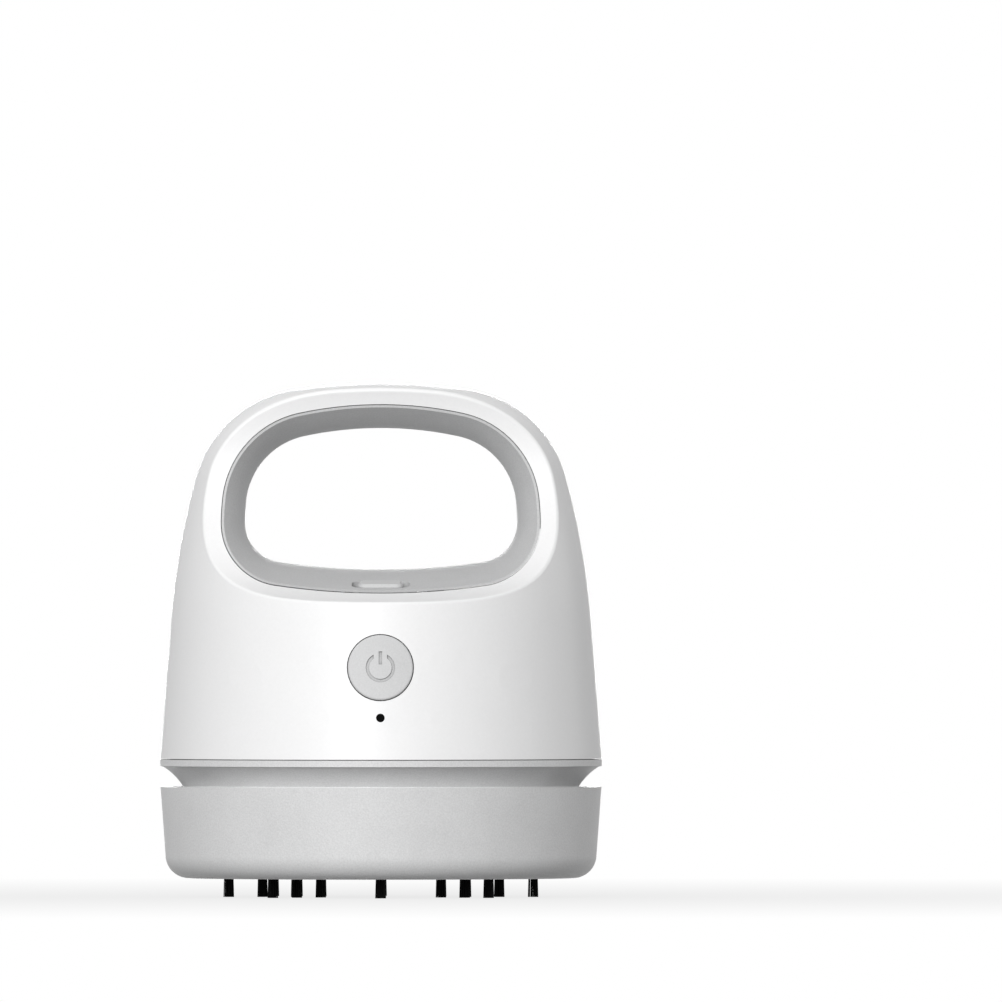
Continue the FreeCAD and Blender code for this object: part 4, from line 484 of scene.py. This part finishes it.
def weaveMesh():
    form = Form("woven_mesh", meshSizes)
    size = form.size
    span = (size("wires") - 1) * size("pitch")
    rows = form.add("GeometryNodeMeshLine", {"mode": "END_POINTS"},
                    {"Count": size("wires"), "Start Location": form.vector(0, 0 - span / 2, 0),
                     "Offset": form.vector(0, span / 2, 0)})
    straight = form.add("GeometryNodeCurvePrimitiveLine", None,
                        {"Start": form.vector(0 - size("reach"), 0, 0),
                         "End": form.vector(size("reach"), 0, 0)})
    strand = form.add("GeometryNodeResampleCurve", None,
                      {"Curve": straight, "Count": size("samples")})
    strands = form.add("GeometryNodeInstanceOnPoints", None, {"Points": rows, "Instance": strand})
    laid = form.add("GeometryNodeRealizeInstances", None, {0: strands})
    x, y, _ = form.parts(form.add("GeometryNodeInputPosition"))
    reach = size("reach")
    # each strand is as long as the round frame lets it be, and the next one waves the other way
    half = form.maths("SQRT", form.maths("MAXIMUM", reach * reach - y * y, 0.0))
    along = x * half / reach
    phase = (along / size("pitch") + form.maths("ROUND", y / size("pitch"))) * math.pi
    wave = size("wave") * form.maths("COSINE", phase)
    shaped = form.add("GeometryNodeSetPosition", None,
                      {"Geometry": laid, "Position": form.vector(along, y, wave)})
    warp = form.tube(shaped, size("wire"))
    weft = form.add("GeometryNodeTransform", None,
                    {"Geometry": warp, "Rotation": (math.pi, 0, math.pi / 2)})
    cloth = form.add("GeometryNodeTransform", None,
                     {"Geometry": form.join(warp, weft),
                      "Translation": form.vector(0, 0, size("height"))})
    form.grow(cloth, "filter_unit", "filter_mesh", slot="filter_steel")


growBristles()
weaveMesh()

# cross recesses for the screw heads
recess = dict(arm=0.00095, width=0.00036, depth=0.00062, foot=0.55, lift=0.0002, mouth=1.08,
              endBand=0.02, merge=1e-7, sharpFrom=35)


def islandsOf(shape):
    # a dict keeps the mesh's own order, so every run cuts the screws in the same order
    left = dict.fromkeys(shape.verts)
    while left:
        island, front = [], [next(iter(left))]
        del left[front[0]]
        while front:
            vert = front.pop()
            island.append(vert)
            for edge in vert.link_edges:
                other = edge.other_vert(vert)
                if other in left:
                    del left[other]
                    front.append(other)
        yield [v.co.copy() for v in island]


def headOf(points):
    # middle of the head's outer face and the way into the screw
    low = Vector([min(p[i] for p in points) for i in range(3)])
    high = Vector([max(p[i] for p in points) for i in range(3)])
    middle, span = (low + high) / 2, high - low
    # the head is as wide one way as the other, so the odd span is the screw's length
    headWidth = sorted(span)[1]
    axis = max(range(3), key=lambda i: abs(span[i] - headWidth))

    def widthAt(end):
        near = [p for p in points if abs(p[axis] - end) < span[axis] * recess["endBand"]]
        offsets = [Vector([p[i] - middle[i] for i in range(3) if i != axis]) for p in near]
        return max((offset.length for offset in offsets), default=0)

    top = max((low[axis], high[axis]), key=widthAt)
    centre, inward = middle.copy(), Vector((0, 0, 0))
    centre[axis] = top
    inward[axis] = 1 if top == low[axis] else -1
    return centre, inward


def crossCutter(heads):
    a, w = recess["arm"], recess["width"] / 2
    outline = [(a, -w), (a, w), (w, w), (w, a), (-w, a), (-w, w),
               (-a, w), (-a, -w), (-w, -w), (-w, -a), (w, -a), (w, -w)]
    corners = len(outline)
    ends = ((-recess["lift"], recess["mouth"]), (recess["depth"], recess["foot"]))
    shape = bmesh.new()
    for centre, inward in heads:
        turn = inward.to_track_quat("Z", "Y")
        outer, inner = [[shape.verts.new(centre + turn @ Vector((x * scale, y * scale, depth)))
                         for x, y in outline] for depth, scale in ends]
        shape.faces.new(outer[::-1])
        shape.faces.new(inner)
        for i in range(corners):
            j = (i + 1) % corners
            shape.faces.new((outer[i], outer[j], inner[j], inner[i]))
    bmesh.ops.recalc_face_normals(shape, faces=shape.faces)
    mesh = bpy.data.meshes.new("cross_cutter")
    shape.to_mesh(mesh)
    shape.free()
    return mesh


def recessScrews(node, body):
    shape = bmesh.new()
    shape.from_mesh(nodes[node].data)
    bmesh.ops.remove_doubles(shape, verts=shape.verts, dist=recess["merge"])
    heads = [headOf(points) for points in islandsOf(shape)]
    mesh = bpy.data.meshes.new(node + "_merged")
    shape.to_mesh(mesh)
    shape.free()
    plain = link(node + "_merged", mesh)
    cutter = link("cross_cutter", crossCutter(heads))
    cut = plain.modifiers.new("recess", "BOOLEAN")
    cut.operation, cut.solver, cut.object = "DIFFERENCE", "EXACT", cutter
    cutMesh = plainMesh(plain)
    bpy.data.objects.remove(cutter)
    cutMesh.materials.clear()
    cutMesh.materials.append(finishes["screw_steel"])
    cutMesh.shade_smooth()
    cutMesh.set_sharp_from_angle(angle=math.radians(recess["sharpFrom"]))
    piece = link(node + "_crosshead", cutMesh)
    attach(piece, body)
    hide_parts(node)
    print(piece.name, len(heads), "screws", len(cutMesh.polygons), "faces")


for node in ("shell_screws", "neck_screws", "fan_screws", "motor_screws", "board_screws",
             "charge_screws"):
    recessScrews(node, "main_unit")
recessScrews("plate_screws", "bowl_unit")


def seenRays(tree):
    # 1 for rays that show a surface, 0 for those that only light others
    rays = tree.add("ShaderNodeLightPath").socket.node.outputs
    shown = [Wire(tree, rays[key]) for key in
             ("Is Camera Ray", "Is Glossy Ray", "Is Transmission Ray")]
    return tree.maths("MINIMUM", shown[0] + shown[1] + shown[2], 1.0)


ground = dict(side=4, front=-3, back=2.5, drop=-0.00002, grey=(0.26, 0.26, 0.26), white=(1, 1, 1),
              underPart=0.80, perMetreOut=0.5)


def paleFloor():
    mesh = bpy.data.meshes.new("floor")
    side, front, back = ground["side"], ground["front"], ground["back"]
    corners = [(-side, front, 0), (side, front, 0), (side, back, 0), (-side, back, 0)]
    mesh.from_pydata(corners, [], [(0, 1, 2, 3)])
    floor = link("floor", mesh)
    floor.location.z = ground["drop"]
    material = bpy.data.materials.new("floor_white")
    material.use_nodes = True
    material.node_tree.nodes.clear()
    tree = Tree(material.node_tree)
    # near the part the floor shows its grey diffuse colour and the real shadow, so it is greyer
    # there by distance alone, a painted soft shade round the part, and it fades to plain white
    # further out
    x, y, _ = tree.parts(tree.add("ShaderNodeTexCoord", output="Object"))
    away = tree.maths("SQRT", x * x + y * y)
    fade = tree.clamp(ground["underPart"] + away * ground["perMetreOut"])
    lit = tree.add("ShaderNodeBsdfDiffuse", None, {"Color": ground["grey"]})
    glow = tree.add("ShaderNodeEmission", None, {"Color": ground["white"], "Strength": 1.0})
    mixed = tree.add("ShaderNodeMixShader", None, {0: seenRays(tree) * fade, 1: lit, 2: glow})
    out = material.node_tree.nodes.new("ShaderNodeOutputMaterial")
    tree.feed(out.inputs["Surface"], mixed)
    mesh.materials.append(material)


room = dict(colour=(1, 1, 1), strength=0.36)


def softRoom():
    # the room looks white and lights the part less strongly than that
    world = bpy.data.worlds.new("room")
    bpy.context.scene.world = world
    world.use_nodes = True
    world.node_tree.nodes.clear()
    tree = Tree(world.node_tree)
    strength = room["strength"] + seenRays(tree) * (1 - room["strength"])
    back = tree.add("ShaderNodeBackground", None, {"Color": room["colour"], "Strength": strength})
    out = world.node_tree.nodes.new("ShaderNodeOutputWorld")
    tree.feed(out.inputs["Surface"], back)


lamps = (
    dict(name="key", place=(-0.28, -1.2, 0.42), size=0.7, power=12.0),
    dict(name="top", place=(-0.1, -0.25, 1.3), size=0.8, power=0.9),
    dict(name="rim", place=(1.1, 0.7, 0.30), size=0.5, power=1.0),
    dict(name="rear", place=(-0.01, 1.35, 0.10), size=0.35, power=8.2),
)
lampTarget = Vector((0, 0, 0.045))  # about half the part's height


def hangLamp(name, place, size, power):
    data = bpy.data.lights.new(name, "AREA")
    data.shape, data.size, data.energy = "DISK", size, power
    lamp = link(name, data)
    lamp.location = place
    lamp.rotation_euler = (lamp.location - lampTarget).to_track_quat("Z", "Y").to_euler()


camera = dict(lens=1500, sensor=36, near=0.1, far=40, place=(0.02231, -7.763, 0.07363),
              turn=(math.pi / 2, 0, 0))


def setCamera():
    data = bpy.data.cameras.new("camera")
    data.lens, data.sensor_width = camera["lens"], camera["sensor"]
    data.clip_start, data.clip_end = camera["near"], camera["far"]
    thing = link("camera", data)
    thing.location = camera["place"]
    thing.rotation_euler = camera["turn"]
    bpy.context.scene.camera = thing


paleFloor()
softRoom()
for lamp in lamps:
    hangLamp(**lamp)
setCamera()
bpy.context.scene.view_settings.view_transform = "Standard"
print("floor, lamps and camera set")
